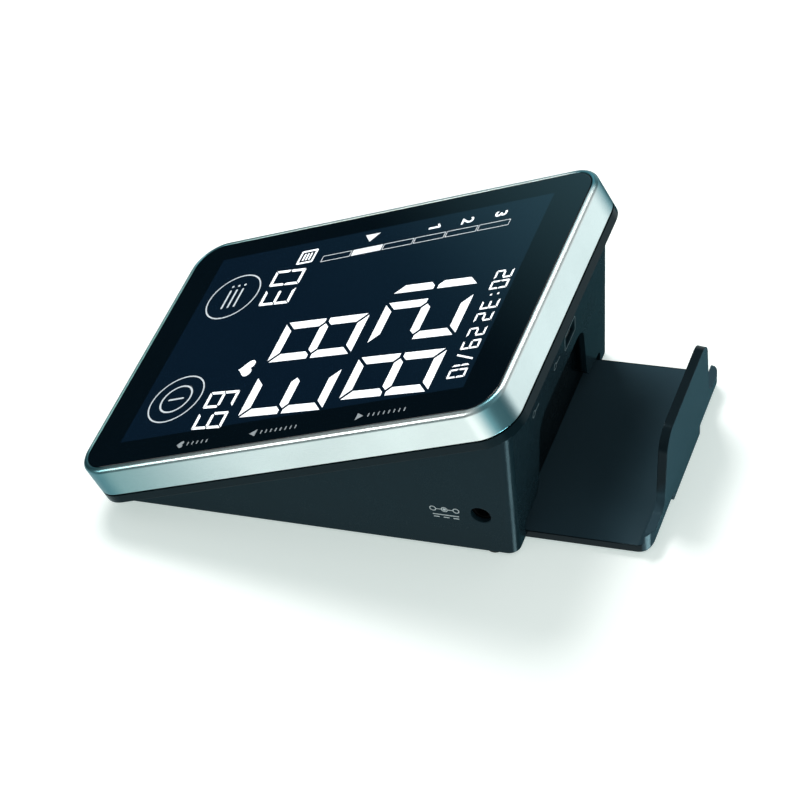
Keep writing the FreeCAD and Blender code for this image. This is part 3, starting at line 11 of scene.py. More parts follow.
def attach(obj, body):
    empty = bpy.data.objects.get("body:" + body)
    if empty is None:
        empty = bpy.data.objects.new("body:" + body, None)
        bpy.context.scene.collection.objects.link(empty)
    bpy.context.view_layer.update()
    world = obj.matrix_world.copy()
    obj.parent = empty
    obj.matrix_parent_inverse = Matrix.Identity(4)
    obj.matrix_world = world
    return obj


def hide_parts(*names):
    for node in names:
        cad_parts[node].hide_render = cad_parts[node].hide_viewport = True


bl_info = {
    "name": "Desk Blood Pressure Monitor",
    "version": (1, 0, 0),
    "blender": (4, 5, 0),
    "location": "View3D > Sidebar > Monitor",
    "description": "Dresses the console of an upper-arm blood pressure monitor and sets its stage",
    "category": "Object",
}

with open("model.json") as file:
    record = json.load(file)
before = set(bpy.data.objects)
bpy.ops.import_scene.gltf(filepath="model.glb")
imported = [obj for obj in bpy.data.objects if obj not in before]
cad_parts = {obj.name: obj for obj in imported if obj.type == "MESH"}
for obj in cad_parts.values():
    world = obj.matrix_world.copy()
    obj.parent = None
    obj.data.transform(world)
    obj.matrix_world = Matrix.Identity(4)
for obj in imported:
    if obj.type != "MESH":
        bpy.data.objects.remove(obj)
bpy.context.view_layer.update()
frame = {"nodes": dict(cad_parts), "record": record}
MM = 0.001
# Points this far from a round edge keep the flats beside it flat when it is shaded.
FLAT_MARGIN = 0.03 * MM


# ---- Settings ---------------------------------------------------------------------------------


def length(name, description, millimetres):
    return FloatProperty(
        name=name, description=description, default=millimetres * MM, unit="LENGTH", precision=5
    )


def angle(name, description, degrees):
    return FloatProperty(
        name=name, description=description, default=math.radians(degrees), subtype="ANGLE"
    )


def power(name, description, watts):
    return FloatProperty(name=name, description=description, default=watts, unit="POWER")


def direction(name, description, *toward):
    return FloatVectorProperty(
        name=name, description=description, default=toward, subtype="DIRECTION"
    )


def tint(name, description, *colour):
    return FloatVectorProperty(
        name=name, description=description, default=colour, size=3, min=0, max=1, subtype="COLOR"
    )


class ConsoleSizes(bpy.types.PropertyGroup):
    """Sizes of the display plate and of the walls that carry marks."""

    window_height: length("Window height", "Centre of the display window above the desk", 46.7)
    window_setback: length("Window setback", "Centre of the window ahead of the origin", 18.85)
    plate_tilt: angle("Plate tilt", "Slope of the display plate", 19.4)
    trim_width: length("Trim width", "Across the silver trim", 110.0)
    trim_length: length("Trim length", "Along the silver trim", 162.4)
    trim_corner: length("Trim corner", "Outer corner radius of the trim", 11.5)
    trim_wall: length("Trim wall", "Thickness of the trim", 1.9)
    trim_depth: length("Trim depth", "Height of the silver band", 10.9)
    trim_round: length("Trim edge", "Rounding of the trim's outer top edge", 1.45)
    glass_thickness: length("Glass thickness", "Thickness of the cover glass", 1.2)
    glass_gap: length("Glass gap", "Gap between the trim and the glass", 0.15)
    glass_round: length("Glass edge", "Rounding of the glass's top edge", 0.3)
    display_width: length("Display width", "Across the lit area behind the glass", 87.1)
    display_length: length("Display length", "Along the lit area behind the glass", 132.8)
    display_left: length("Display left", "Lit area's centre left of the window's", 0.95)
    display_below: length("Display below", "Lit area's centre below the window's", 0.6)
    body_half_width: length("Body half width", "Half the body's width at the desk", 46.5)
    body_rear: length("Body rear", "Rear wall behind the window's centre at the desk", 68.8)
    side_lean: angle("Side lean", "Outward lean of the side walls", 2.9)
    rear_lean: angle("Rear lean", "Backward lean of the rear wall", 7.6)
    # The recess sizes bound the painted shade that darkens the rear wall's recess.
    recess_half_width: length("Recess half width", "Half the width of the lip's recess", 40.0)
    recess_mouth: length("Recess mouth", "Depth at which the recess turns dark", 1.7)
    recess_depth: length("Recess depth", "Depth at which its dark stretch ends", 8.5)
    recess_foot: length("Recess foot", "Foot of its dark stretch above the desk", 3.0)
    tray_half_width: length("Tray half width", "Half the cuff tray's width", 38.3)
    lip_corner: length("Lip corner", "Radius of the cuff lip's top corners", 7.0)
    lip_shoulder: length("Lip shoulder", "Where the lip's corners begin, above the desk", 27.9)
    print_rise: length("Print rise", "How far printed marks stand off their surface", 0.04)


class Readings(bpy.types.PropertyGroup):
    """What the display shows, as plain numbers."""

    upper: StringProperty(name="Upper", description="Upper pressure", default="128")
    lower: StringProperty(name="Lower", description="Lower pressure", default="83")
    pulse: StringProperty(name="Pulse", description="Beats a minute", default="69")
    place: StringProperty(name="Place", description="Place in the memory", default="03")
    clock: StringProperty(name="Clock", description="Time of day", default="20:32")
    day: StringProperty(name="Day", description="Day and month", default="29/10")


class FinishColours(bpy.types.PropertyGroup):
    """Colours of the finishes that show."""

    silver: tint("Silver", "Satin trim", 0.80, 0.90, 0.89)
    # Silver front and silver shade are painted shade on the trim, standing for dark reflections.
    silver_front_painted_shade: tint("Silver front", "Trim towards its front end", 0.20, 0.40, 0.415)
    silver_painted_shade: tint("Silver shade", "Trim where it turns its corners", 0.09, 0.26, 0.30)
    glass_border: tint("Glass border", "Printed border under the glass", 0.0016, 0.0050, 0.0084)
    glass_display: tint("Glass display", "Display behind the glass", 0.0030, 0.0108, 0.0245)
    # The glass's far end colour is a painted reflection, lighter towards the display's far end.
    glass_far_painted_reflection: tint("Glass far end", "Display at its far, lighter end", 0.0062, 0.0205, 0.0350)
    lit: tint("Lit", "Lit segments of the display", 0.93, 0.97, 1.0)
    key_print: tint("Key print", "Printed touch keys", 0.62, 0.68, 0.72)
    border_print: tint("Border print", "Guides beside the readings", 0.40, 0.45, 0.48)
    wall_print: tint("Wall print", "Marks beside the mains inlet", 0.50, 0.58, 0.60)
    rear_print: tint("Rear print", "Marks on the rear wall", 0.16, 0.22, 0.24)
    body: tint("Body", "Body shell", 0.0090, 0.0250, 0.0335)
    strip: tint("Strip", "Glossy strip under the trim", 0.0035, 0.0125, 0.0170)
    bracket: tint("Bracket", "Cuff bracket", 0.0320, 0.0655, 0.0850)
    gloss: tint("Gloss", "Tint of what the dark shells reflect", 0.50, 0.85, 1.0)
    floor: tint("Floor", "Floor under the object", 0.80, 0.80, 0.80)
    floor_glow: tint("Floor glow", "Light that the floor gives off", 0.455, 0.525, 0.50)
    sky: tint("Sky", "Surroundings where no card stands", 0.004, 0.009, 0.012)


class Studio(bpy.types.PropertyGroup):
    """Camera and light."""

    camera_place: FloatVectorProperty(
        name="Camera place",
        description="Where the camera stands",
        default=(0.5934, 0.34375, 0.6497),
        subtype="TRANSLATION",
        unit="LENGTH",
    )
    camera_view: direction("Camera view", "Where it looks", -0.634, -0.371, -0.679)
    camera_up: direction("Camera up", "Top of the frame", -0.695, -0.112, 0.710)
    lens: FloatProperty(name="Lens", description="Focal length", default=131.9, unit="CAMERA")
    key_power: power("Key", "Softbox overhead", 10.2)
    fill_power: power("Fill", "Softbox behind the console", 1.3)
    side_rim_power: power("Side rim", "Softbox at the right, seen only in gloss", 5.0)
    rear_rim_power: power("Rear rim", "Softbox at the left, seen only in gloss", 0.9)
    cards: FloatProperty(
        name="Cards", description="Strength of the reflecting cards and the sky", default=1.0
    )


# ---- Surfaces ---------------------------------------------------------------------------------


class Face:
    """A flat face of the object with its own coordinates.

    A point (a, b) at a height above the face lies at origin + a x along + b x up + height x
    (along cross up).
    """

    def __init__(self, origin, along, up):
        self.origin, self.along, self.up = (np.array(v, float) for v in (origin, along, up))
        self.out = np.cross(self.along, self.up)

    def point(self, a, b, height):
        """The points for arrays of a, b and height."""
        a, b, height = np.broadcast_arrays(a, b, height)
        return (
            self.origin
            + a[..., None] * self.along
            + b[..., None] * self.up
            + height[..., None] * self.out
        )


def plate_face(sizes):
    """The window's plane: along is the user's right, up is up the slope."""
    tilt = sizes.plate_tilt
    origin = (0, -sizes.window_setback, sizes.window_height)
    return Face(origin, (1, 0, 0), (0, math.cos(tilt), math.sin(tilt)))


def side_face(sizes):
    """The right-hand wall: along runs to the rear, up runs up the wall."""
    lean = sizes.side_lean
    return Face(
        (sizes.body_half_width, -sizes.window_setback, 0),
        (0, 1, 0),
        (math.sin(lean), 0, math.cos(lean)),
    )


def rear_face(sizes):
    """The rear wall: along runs to the user's left, up runs up the wall."""
    lean = sizes.rear_lean
    return Face(
        (0, sizes.body_rear - sizes.window_setback, 0),
        (-1, 0, 0),
        (0, math.sin(lean), math.cos(lean)),
    )


def rounded_rectangle(width, length, corner, centre=(0, 0), steps=12):
    """Points and outward normals of a rectangle with round corners, anticlockwise.

    Each corner is a quarter circle: corner centre + corner x (cos, sin) of the turn so far.
    """
    turn = (np.arange(4)[:, None] * math.pi / 2 + np.linspace(0, math.pi / 2, steps)).ravel()
    normals = np.stack([np.cos(turn), np.sin(turn)], -1)
    side = np.repeat([[1, 1], [-1, 1], [-1, -1], [1, -1]], steps, axis=0)
    middle = side * (np.array([width, length]) / 2 - corner)
    return middle + normals * corner + np.array(centre), normals


def circle_path(radius, centre=(0, 0), steps=64):
    """Points centre + radius x (cos, sin) of an even turn, and their outward normals."""
    turn = np.linspace(0, 2 * math.pi, steps, endpoint=False)
    normals = np.stack([np.cos(turn), np.sin(turn)], -1)
    return np.array(centre) + normals * radius, normals


def heart_outline(half_width, half_height, centre, steps=40):
    """A heart about a centre, as the turn t goes round.

    x = half width x sin cubed t, y = half height x (13 cos t - 5 cos 2t - 2 cos 3t - cos 4t) / 16.
    """
    turn = np.linspace(0, 2 * math.pi, steps, endpoint=False)
    across = np.sin(turn) ** 3
    up = (13 * np.cos(turn) - 5 * np.cos(2 * turn) - 2 * np.cos(3 * turn) - np.cos(4 * turn)) / 16
    return np.stack([half_width * across, half_height * up], -1) + centre


def rounded_profile(corners, radii, steps=6):
    """A closed outline whose corners are arcs, with a point a small margin before and after each.

    An arc touches both sides at radius / tan(half the corner's angle); its points are the arc's
    centre plus a vector turned evenly from one tangent point to the other.
    """
    corners = np.array(corners, float)
    outline = []
    for before, corner, after, radius in zip(
        np.roll(corners, 1, 0), corners, np.roll(corners, -1, 0), radii
    ):
        back, ahead = (v / np.linalg.norm(v) for v in (before - corner, after - corner))
        half = math.acos(np.clip(back @ ahead, -1, 1)) / 2
        reach = radius / math.tan(half)
        centre = corner + (back + ahead) / np.linalg.norm(back + ahead) * radius / math.sin(half)
        first, last = corner + back * reach - centre, corner + ahead * reach - centre
        sweep, part = math.pi - 2 * half, np.linspace(0, 1, steps)[:, None]
        arc = (np.sin((1 - part) * sweep) * first + np.sin(part * sweep) * last) / math.sin(sweep)
        outline += [
            [centre + first + back * FLAT_MARGIN],
            centre + arc,
            [centre + last + ahead * FLAT_MARGIN],
        ]
    return np.concatenate(outline)


def carried(face, path, normals, profile):
    """A profile of (outward, height) carried along a path in a face, as a grid of points.

    Each is the face's point at path + outward x normal, at that height.
    """
    place = path[:, None] + normals[:, None] * profile[None, :, :1]
    return face.point(place[..., 0], place[..., 1], profile[None, :, 1])


def quads(rows, columns, close_columns=True):
    """Faces between neighbouring points of a grid whose rows close on themselves."""
    row, column = np.meshgrid(
        np.arange(rows), np.arange(columns if close_columns else columns - 1), indexing="ij"
    )
    next_row, next_column = (row + 1) % rows, (column + 1) % columns
    corners = [
        row * columns + column,
        next_row * columns + column,
        next_row * columns + next_column,
        row * columns + next_column,
    ]
    return np.stack(corners, -1).reshape(-1, 4).tolist()


def new_object(name, data):
    """An object that holds a mesh, a curve, a lamp or a camera, in the scene."""
    made = bpy.data.objects.new(name, data)
    bpy.context.scene.collection.objects.link(made)
    return made


class Shape:
    """Points and faces that gather into one mesh."""

    def __init__(self):
        self.points, self.faces, self.count = [], [], 0

    def add(self, points, faces):
        """More points, and faces that count from the first of them."""
        self.points.append(points.reshape(-1, 3))
        self.faces += [[corner + self.count for corner in face] for face in faces]
        self.count += len(self.points[-1])

    def band(self, face, path, normals, profile):
        """A closed profile carried round a closed path."""
        self.add(carried(face, path, normals, profile), quads(len(path), len(profile)))

    def piece(self, name, material, slot, replaced=(), smooth=False):
        """The finished object, riding on the console."""
        mesh = bpy.data.meshes.new(name)
        mesh.from_pydata(np.concatenate(self.points).tolist(), [], self.faces)
        mesh.polygons.foreach_set("use_smooth", np.full(len(mesh.polygons), smooth))
        mesh.materials.append(material)
        mesh.update()
        made = new_object(name, mesh)
        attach(made, "console")
        if replaced:
            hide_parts(*replaced)


class Marks(Shape):
    """Flat marks on one face, from a rise below it to a rise above it, given in millimetres."""

    def __init__(self, face, rise):
        super().__init__()
        self.face, self.rise = face, rise

    def tile(self, polygon):
        """A polygon at two heights, with a wall between its outlines, turned anticlockwise."""
        polygon = np.array(polygon, float) * MM
        x, y = polygon.T
        if np.sum(x * np.roll(y, -1) - y * np.roll(x, -1)) < 0:
            polygon = polygon[::-1]
        count = len(polygon)
        points = np.concatenate(
            [self.face.point(*polygon.T, height) for height in (-self.rise, self.rise)]
        )
        here = np.arange(count)
        there = (here + 1) % count
        walls = np.stack([here, there, there + count, here + count], -1).tolist()
        self.add(points, walls + [(here + count).tolist(), here[::-1].tolist()])

    def bar(self, width, length, corner, centre, steps=3):
        """A filled rectangle with round corners."""
        self.tile(rounded_rectangle(width, length, corner, centre, steps)[0])

    def dot(self, radius, centre, steps):
        """A filled circle."""
        self.tile(circle_path(radius, centre, steps)[0])

    def line(self, outline, stroke):
        """A line just inside a closed outline, given as its path and normals."""
        path, normals = outline
        width, rise = stroke * MM, self.rise
        profile = np.array([(0, -rise), (0, rise), (-width, rise), (-width, -rise)])
        self.band(self.face, path * MM, normals, profile)

    def ring(self, radius, centre, stroke, steps):
        """A circle drawn as a line inside its radius."""
        self.line(circle_path(radius, centre, steps), stroke)


def plate_marks(sizes):
    """Marks on the glass, measured from the window's centre."""
    return Marks(plate_face(sizes), sizes.print_rise)


# ---- Finishes ---------------------------------------------------------------------------------


def toned(colour, share, lift=0.0):
    """A colour times a share, plus a lift, at most 1."""
    return tuple(min(1.0, part * share + lift) for part in colour)


class Wire:
    """A shader socket that joins in sums: each operator adds its Math node."""

    def __init__(self, nodes, socket):
        self.nodes, self.socket = nodes, socket

    def math(self, operation, first, second):
        return self.nodes.node("ShaderNodeMath", {"operation": operation}, {0: first, 1: second})

    def __add__(self, other):
        return self.math("ADD", self, other)

    def __sub__(self, other):
        return self.math("SUBTRACT", self, other)

    def __rsub__(self, other):
        return self.math("SUBTRACT", other, self)

    def __mul__(self, other):
        return self.math("MULTIPLY", self, other)

    def __abs__(self):
        return self.math("ABSOLUTE", self, 0)

    def at_least(self, other):
        return self.math("MAXIMUM", self, other)

    def at_most(self, other):
        return self.math("MINIMUM", self, other)

    def angle_over(self, across):
        return self.math("ARCTAN2", self, across)

    __radd__, __rmul__ = __add__, __mul__


class Nodes:
    """A node tree under construction."""

    def __init__(self, tree):
        self.tree = tree

    def node(self, kind, settings=None, inputs=None, output=0):
        """Any node: its settings first, then the values or links of its sockets."""
        made = self.tree.nodes.new(kind)
        for name, setting in (settings or {}).items():
            setattr(made, name, setting)
        for name, value in (inputs or {}).items():
            self.feed(made.inputs[name], value)
        return Wire(self, made.outputs[output])

    def feed(self, socket, value):
        if isinstance(value, Wire):
            self.tree.links.new(value.socket, socket)
        elif socket.type == "RGBA":
            socket.default_value = (*value[:3], 1)
        else:
            socket.default_value = value

    def mix(self, factor, first, second, blend="MIX"):
        """A colour between two others, or another blend of the two."""
        settings = {"data_type": "RGBA", "blend_type": blend}
        return self.node("ShaderNodeMix", settings, {0: factor, 6: first, 7: second}, 2)

    def ease(self, value, low, high, to_low=0.0, to_high=1.0):
        """A smooth step from one value to another."""
        return self.node(
            "ShaderNodeMapRange",
            {"interpolation_type": "SMOOTHSTEP"},
            {"Value": value, "From Min": low, "From Max": high, "To Min": to_low, "To Max": to_high},
        )

    def fade(self, value, low, high):
        """A smooth step from 1 down to 0."""
        return self.ease(value, low, high, 1.0, 0.0)


class Finish(Nodes):
    """A material under construction, around one Principled shader."""

    def __init__(self, name):
        self.material = bpy.data.materials.new(name)
        self.material.use_nodes = True
        super().__init__(self.material.node_tree)
        self.shader = self.tree.nodes["Principled BSDF"]

    def surface(self, **inputs):
        """Sets the shader's sockets; a name's underscores stand for spaces."""
        for name, value in inputs.items():
            self.feed(self.shader.inputs[name.replace("_", " ")], value)
        return self.material

    def place(self, stretch=(1, 1, 1)):
        """The object's coordinates, stretched."""
        where = self.node("ShaderNodeTexCoord", output="Object")
        return self.node("ShaderNodeMapping", None, {"Vector": where, "Scale": stretch})

    def place_on(self, face, tilt):
        """The object's coordinates, read from a face's origin and in axes tilted about X."""
        where = self.node("ShaderNodeTexCoord", output="Object")
        inputs = {"Vector": where, "Location": tuple(face.origin), "Rotation": (tilt, 0, 0)}
        return self.node("ShaderNodeMapping", {"vector_type": "TEXTURE"}, inputs)

    def split(self, vector):
        """The three parts of a vector."""
        parts = self.node("ShaderNodeSeparateXYZ", None, {0: vector}).socket.node.outputs
        return [Wire(self, part) for part in parts]

    def noise(self, size, detail=2.0, stretch=(1, 1, 1)):
        """Cloudy values from 0 to 1 whose grains are about that size in metres."""
        inputs = {"Vector": self.place(stretch), "Scale": 1 / size, "Detail": detail}
        return self.node("ShaderNodeTexNoise", None, inputs)

    def bumped(self, height, depth, base=None):
        """A normal from a height map, over another normal if one is given."""
        inputs = {"Height": height, "Distance": depth, "Strength": 1.0}
        if base is not None:
            inputs["Normal"] = base
        return self.node("ShaderNodeBump", None, inputs)

    def softened(self, radius):
        """A normal that rounds off sharp edges."""
        return self.node("ShaderNodeBevel", {"samples": 6}, {"Radius": radius})


def moulded(
    name, colour, roughness, grain=0.35 * MM, specular=0.3, edge=0.25 * MM, gloss=(1, 1, 1), dark=None
):
    """Moulded plastic: spark-eroded grain, faint mottling and softened edges.

    Dark, if it is given, is a function of the finish that is 1 where painted shade darkens the colour
    most.
    """
    finish = Finish(name)
    mottle = finish.noise(14 * MM, 3)
    fine = finish.noise(grain, 2)
    shade = finish.mix(mottle, toned(colour, 0.95), toned(colour, 1.06, 0.0003))
    if dark:
        # Painted shade: the colour falls to a fifth where dark is 1.
        shade = finish.mix(dark(finish), shade, toned(colour, 0.2))
    return finish.surface(
        Base_Color=shade,
        Roughness=finish.ease(fine + mottle, 0.6, 1.4, roughness - 0.04, roughness + 0.05),
        Specular_IOR_Level=specular,
        Specular_Tint=gloss,
        Normal=finish.bumped(fine, 0.002 * MM, finish.softened(edge)),
    )


def recess_painted_shade(sizes):
    """Painted shade in the rear wall's recess: 1 behind the wall, clear of the recess's sides and of
    the desk.
    """

    def inside(finish):
        along, out, up = finish.split(finish.place_on(rear_face(sizes), -sizes.rear_lean))
        soft = 0.5 * MM
        behind = finish.fade(out, -sizes.recess_mouth - soft, -sizes.recess_mouth + soft)
        deep = finish.ease(out, -sizes.recess_depth, -sizes.recess_depth + soft) * behind
        clear = finish.fade(abs(along), sizes.recess_half_width - soft, sizes.recess_half_width)
        return deep * clear * finish.ease(up, sizes.recess_foot, sizes.recess_foot + soft)

    return inside


def bracket_edge_painted_shade(sizes):
    """Painted shade on the bracket's edges: 1 on the tray's sides, or the lip's sides and top.

    Half the lip's width shrinks by a slope up to its round corners, and from there on the edge is
    as far from the corner's centre as the corner's radius.
    """
    slope, corner_across = 0.138, 19.25 * MM
    tray_from, tray_full = sizes.tray_half_width - 0.5 * MM, sizes.tray_half_width - 0.2 * MM
    lip_from, lip_full = sizes.lip_corner - 0.4 * MM, sizes.lip_corner - 0.2 * MM

    def inside(finish):
        across, _, up = finish.split(finish.place())
        side = (abs(across) + up.at_most(sizes.lip_shoulder) * slope - corner_across).at_least(0)
        rise = (up - sizes.lip_shoulder).at_least(0)
        lip = finish.ease(side * side + rise * rise, lip_from ** 2, lip_full ** 2)
        tray = finish.ease(abs(across), tray_from, tray_full)
        above_rim = finish.ease(up, 12.0 * MM, 14.0 * MM)
        return tray + lip * above_rim * (1 - tray)

    return inside


def plated(name, colour, roughness, streak=(1, 1, 1)):
    """Plated or rolled metal: fine streaks along one direction and softened edges."""
    finish = Finish(name)
    streaks = finish.noise(0.25 * MM, 3, streak)
    cloud = finish.noise(6 * MM, 2)
    return finish.surface(
        Base_Color=finish.mix(finish.ease(streaks + cloud, 0.7, 1.3), toned(colour, 0.82), colour),
        Metallic=1.0,
        Roughness=finish.ease(streaks, 0.3, 0.7, roughness - 0.06, roughness + 0.08),
        Normal=finish.bumped(streaks, 0.003 * MM, finish.softened(0.12 * MM)),
    )


def rubbery(name, colour, roughness=0.75, specular=0.25):
    """Rubber or silicone: a dull skin with a fine dusty grain."""
    finish = Finish(name)
    dust = finish.noise(0.5 * MM, 4)
    return finish.surface(
        Base_Color=finish.mix(finish.ease(dust, 0.45, 0.75), colour, toned(colour, 1.25, 0.004)),
        Roughness=finish.ease(dust, 0.3, 0.7, roughness - 0.1, roughness + 0.08),
        Specular_IOR_Level=specular,
        Normal=finish.bumped(dust, 0.01 * MM, finish.softened(0.2 * MM)),
    )


def lacquered_board(name, colour):
    """Circuit board: solder mask over copper tracks and rows of tinned pads."""
    finish = Finish(name)
    where = finish.place()
    tracks = finish.node(
        "ShaderNodeTexBrick",
        {"offset": 0.35, "squash": 1.4},
        {"Vector": where, "Scale": 160.0, "Mortar Size": 0.012, "Mortar Smooth": 0.2,
         "Brick Width": 0.8, "Row Height": 0.3},
        "Fac",
    )
    speck = finish.node("ShaderNodeTexVoronoi", None, {"Vector": where, "Scale": 420.0}, "Distance")
    pad = finish.fade(speck, 0.10, 0.14)
    mask = finish.mix(tracks, colour, toned(colour, 1.9, 0.01))
    tin = (0.62, 0.60, 0.52)
    return finish.surface(
        Base_Color=finish.mix(pad, mask, tin),
        Metallic=pad * 0.8,
        Roughness=finish.ease(tracks, 0, 1, 0.32, 0.24),
        Normal=finish.bumped(tracks + pad, 0.02 * MM, finish.softened(0.1 * MM)),
    )


def wound_copper(name, colour):
    """Enamelled wire wound side by side: a wave along the coil's axis."""
    finish = Finish(name)
    turns = finish.node(
        "ShaderNodeTexWave",
        {"bands_direction": "X", "wave_profile": "SIN"},
        {"Vector": finish.place(), "Scale": 900.0, "Distortion": 0.6, "Detail": 1.0},
        "Fac",
    )
    return finish.surface(
        Base_Color=finish.mix(turns, toned(colour, 0.45), colour),
        Metallic=1.0,
        Roughness=finish.ease(turns, 0, 1, 0.45, 0.28),
        Normal=finish.bumped(turns, 0.05 * MM),
    )


def wrapped_cell(name, colour):
    """Battery: a printed sleeve between two bare steel ends, set apart along X."""
    finish = Finish(name)
    along, _, _ = finish.split(finish.place())
    end = finish.ease(abs(along), 23.6 * MM, 24.0 * MM)
    stripe = finish.ease(along, 9.0 * MM, 9.3 * MM)
    scuff = finish.noise(1.5 * MM, 5)
    pale_stripe, scuffed, steel = (0.55, 0.57, 0.58), (0.5, 0.5, 0.5), (0.66, 0.66, 0.64)
    sleeve = finish.mix(stripe, colour, pale_stripe)
    worn = finish.mix(finish.ease(scuff, 0.62, 0.74, 0, 0.5), sleeve, scuffed)
    return finish.surface(
        Base_Color=finish.mix(end, worn, steel),
        Metallic=end,
        Roughness=finish.ease(scuff, 0.3, 0.7, 0.25, 0.4),
        Normal=finish.bumped(scuff, 0.01 * MM, finish.softened(0.4 * MM)),
    )


def trim_silver(sizes, colours):
    """Satin silver lacquer: fine metal flake, with painted shade towards its front end and where the
    trim turns a corner.

    The turn round a corner's centre is 0 where the corner leaves the long side and 90 degrees
    where it meets the short one.
    """
    finish = Finish("satin silver")
    spread, reach, _ = finish.split(finish.place_on(plate_face(sizes), sizes.plate_tilt))
    across = abs(spread) - (sizes.trim_width / 2 - sizes.trim_corner)
    along = abs(reach) - (sizes.trim_length / 2 - sizes.trim_corner)
    turn = along.angle_over(across)
    # Painted shade round each corner, standing for dark reflections in the satin metal.
    corner = finish.ease(turn, *np.radians((8, 38))) * finish.fade(turn, *np.radians((60, 90)))
    # The rear right corner holds its painted shade in a band; at the others it starts before the bend.
    bend = finish.ease(turn, *np.radians((-25, 18))) * finish.fade(turn, *np.radians((72, 115)))
    off_rear_right = finish.fade(reach * 0.67 + spread, 30 * MM, 70 * MM)
    flake = finish.noise(0.08 * MM, 2)
    cloud = finish.ease(finish.noise(30 * MM, 2), 0.35, 0.65)
    base = finish.mix(cloud, toned(colours.silver, 0.93), colours.silver)
    # Painted shade towards the trim's front end.
    base = finish.mix(finish.fade(reach, -85 * MM, -5 * MM), base, colours.silver_front_painted_shade)
    base = finish.mix(bend * off_rear_right, base, colours.silver_painted_shade)
    return finish.surface(
        Base_Color=finish.mix(corner * 0.95, base, colours.silver_painted_shade),
        Metallic=0.85,
        Roughness=finish.ease(flake, 0.3, 0.7, 0.26, 0.36),
        Normal=finish.bumped(flake, 0.002 * MM),
    )


def display_glass(sizes, colours):
    """Gloss black glass with a printed border round a navy display with a fine dot grid; a painted
    reflection lightens its far end.
    """
    finish = Finish("cover glass")
    where = finish.place_on(plate_face(sizes), sizes.plate_tilt)
    across, along, _ = finish.split(where)
    half_width, half_length, soft = sizes.display_width / 2, sizes.display_length / 2, 0.15 * MM
    inside = finish.fade(
        abs(across + sizes.display_left), half_width - soft, half_width + soft
    ) * finish.fade(abs(along + sizes.display_below), half_length - soft, half_length + soft)
    # Painted reflection: the display is lighter towards its far end.
    far = finish.ease(along - across, -30 * MM, 110 * MM)
    grid = {"Vector": where, "Scale": 2200.0, "Randomness": 0.0}
    dotted = finish.ease(finish.node("ShaderNodeTexVoronoi", None, grid), 0, 1, 0.15, 0.0)
    lit = finish.mix(far * 0.85 + dotted, colours.glass_display, colours.glass_far_painted_reflection)
    smear = finish.noise(14 * MM, 3)
    return finish.surface(
        Base_Color=finish.mix(inside, colours.glass_border, lit),
        Roughness=finish.ease(smear, 0.35, 0.75, 0.03, 0.045),
        Specular_IOR_Level=0.35,
        Normal=finish.bumped(smear, 0.002 * MM),
    )


def lit_segment(name, colours, strength=0.75):
    """A lit display segment: an even white with a faint dot grain."""
    finish = Finish(name)
    grain = finish.noise(0.3 * MM, 2)
    shade = finish.mix(finish.ease(grain, 0.3, 0.7), toned(colours.lit, 0.94), colours.lit)
    return finish.surface(
        Base_Color=shade,
        Emission_Color=shade,
        Emission_Strength=strength,
        Roughness=finish.ease(grain, 0.3, 0.7, 0.12, 0.2),
        Specular_IOR_Level=0.2,
    )


def printed(name, colour, glow=0.0):
    """Screen-printed ink, a little uneven in cover; glow, where given, is painted light from the ink.
    """
    finish = Finish(name)
    cover = finish.noise(0.25 * MM, 4)
    shade = finish.mix(finish.ease(cover, 0.3, 0.6), toned(colour, 0.72), colour)
    return finish.surface(
        Base_Color=shade,
        Emission_Color=shade,
        Emission_Strength=glow,
        Roughness=finish.ease(cover, 0.3, 0.7, 0.35, 0.5),
        Specular_IOR_Level=0.2,
        Normal=finish.bumped(cover, 0.003 * MM),
    )


def dress_node(node, material):
    """Gives a CAD node's object a finished material."""
    made = frame["nodes"][node]
    if not made.material_slots:
        made.data.materials.append(material)
    for slot in made.material_slots:
        slot.material = material


# ---- Display figures --------------------------------------------------------------------------

# The bars that are lit for each figure: a top, b and c right, d foot, e and f left, g middle.
BARS = {
    "0": "abcdef",
    "1": "bc",
    "2": "abdeg",
    "3": "abcdg",
    "4": "bcfg",
    "5": "acdfg",
    "6": "acdefg",
    "7": "abc",
    "8": "abcdefg",
    "9": "abcdfg",
}


class FigureRow(NamedTuple):
    """A row of figures of one size, in millimetres; they lean by a shift of lean x height."""

    piece: str
    lefts: tuple
    foot: float
    width: float
    height: float
    stroke: float
    gap: float
    lean: float


FIGURE_ROWS = {
    "upper": FigureRow("upper_reading", (-27.0, -4.0, 20.6), 18.5, 18.6, 34.0, 3.4, 0.8, 0.077),
    "lower": FigureRow("lower_reading", (-3.4, 21.3), -20.6, 18.4, 34.0, 3.4, 0.8, 0.077),
    "pulse": FigureRow("pulse_reading", (25.1, 34.6), -38.2, 7.4, 12.5, 1.15, 0.26, 0.1),
    "place": FigureRow("memory_reading", (-32.2, -22.9), -38.4, 7.6, 12.9, 1.15, 0.26, 0.1),
    "clock": FigureRow(
        "clock_reading", (-10.1, -5.3, 0.4, 3.6, 9.2), 57.6, 3.9, 6.6, 0.72, 0.16, 0.02
    ),
    "day": FigureRow(
        "date_reading", (15.7, 21.3, 27.0, 28.7, 33.8), 57.6, 3.9, 6.6, 0.72, 0.16, 0.02
    ),
}


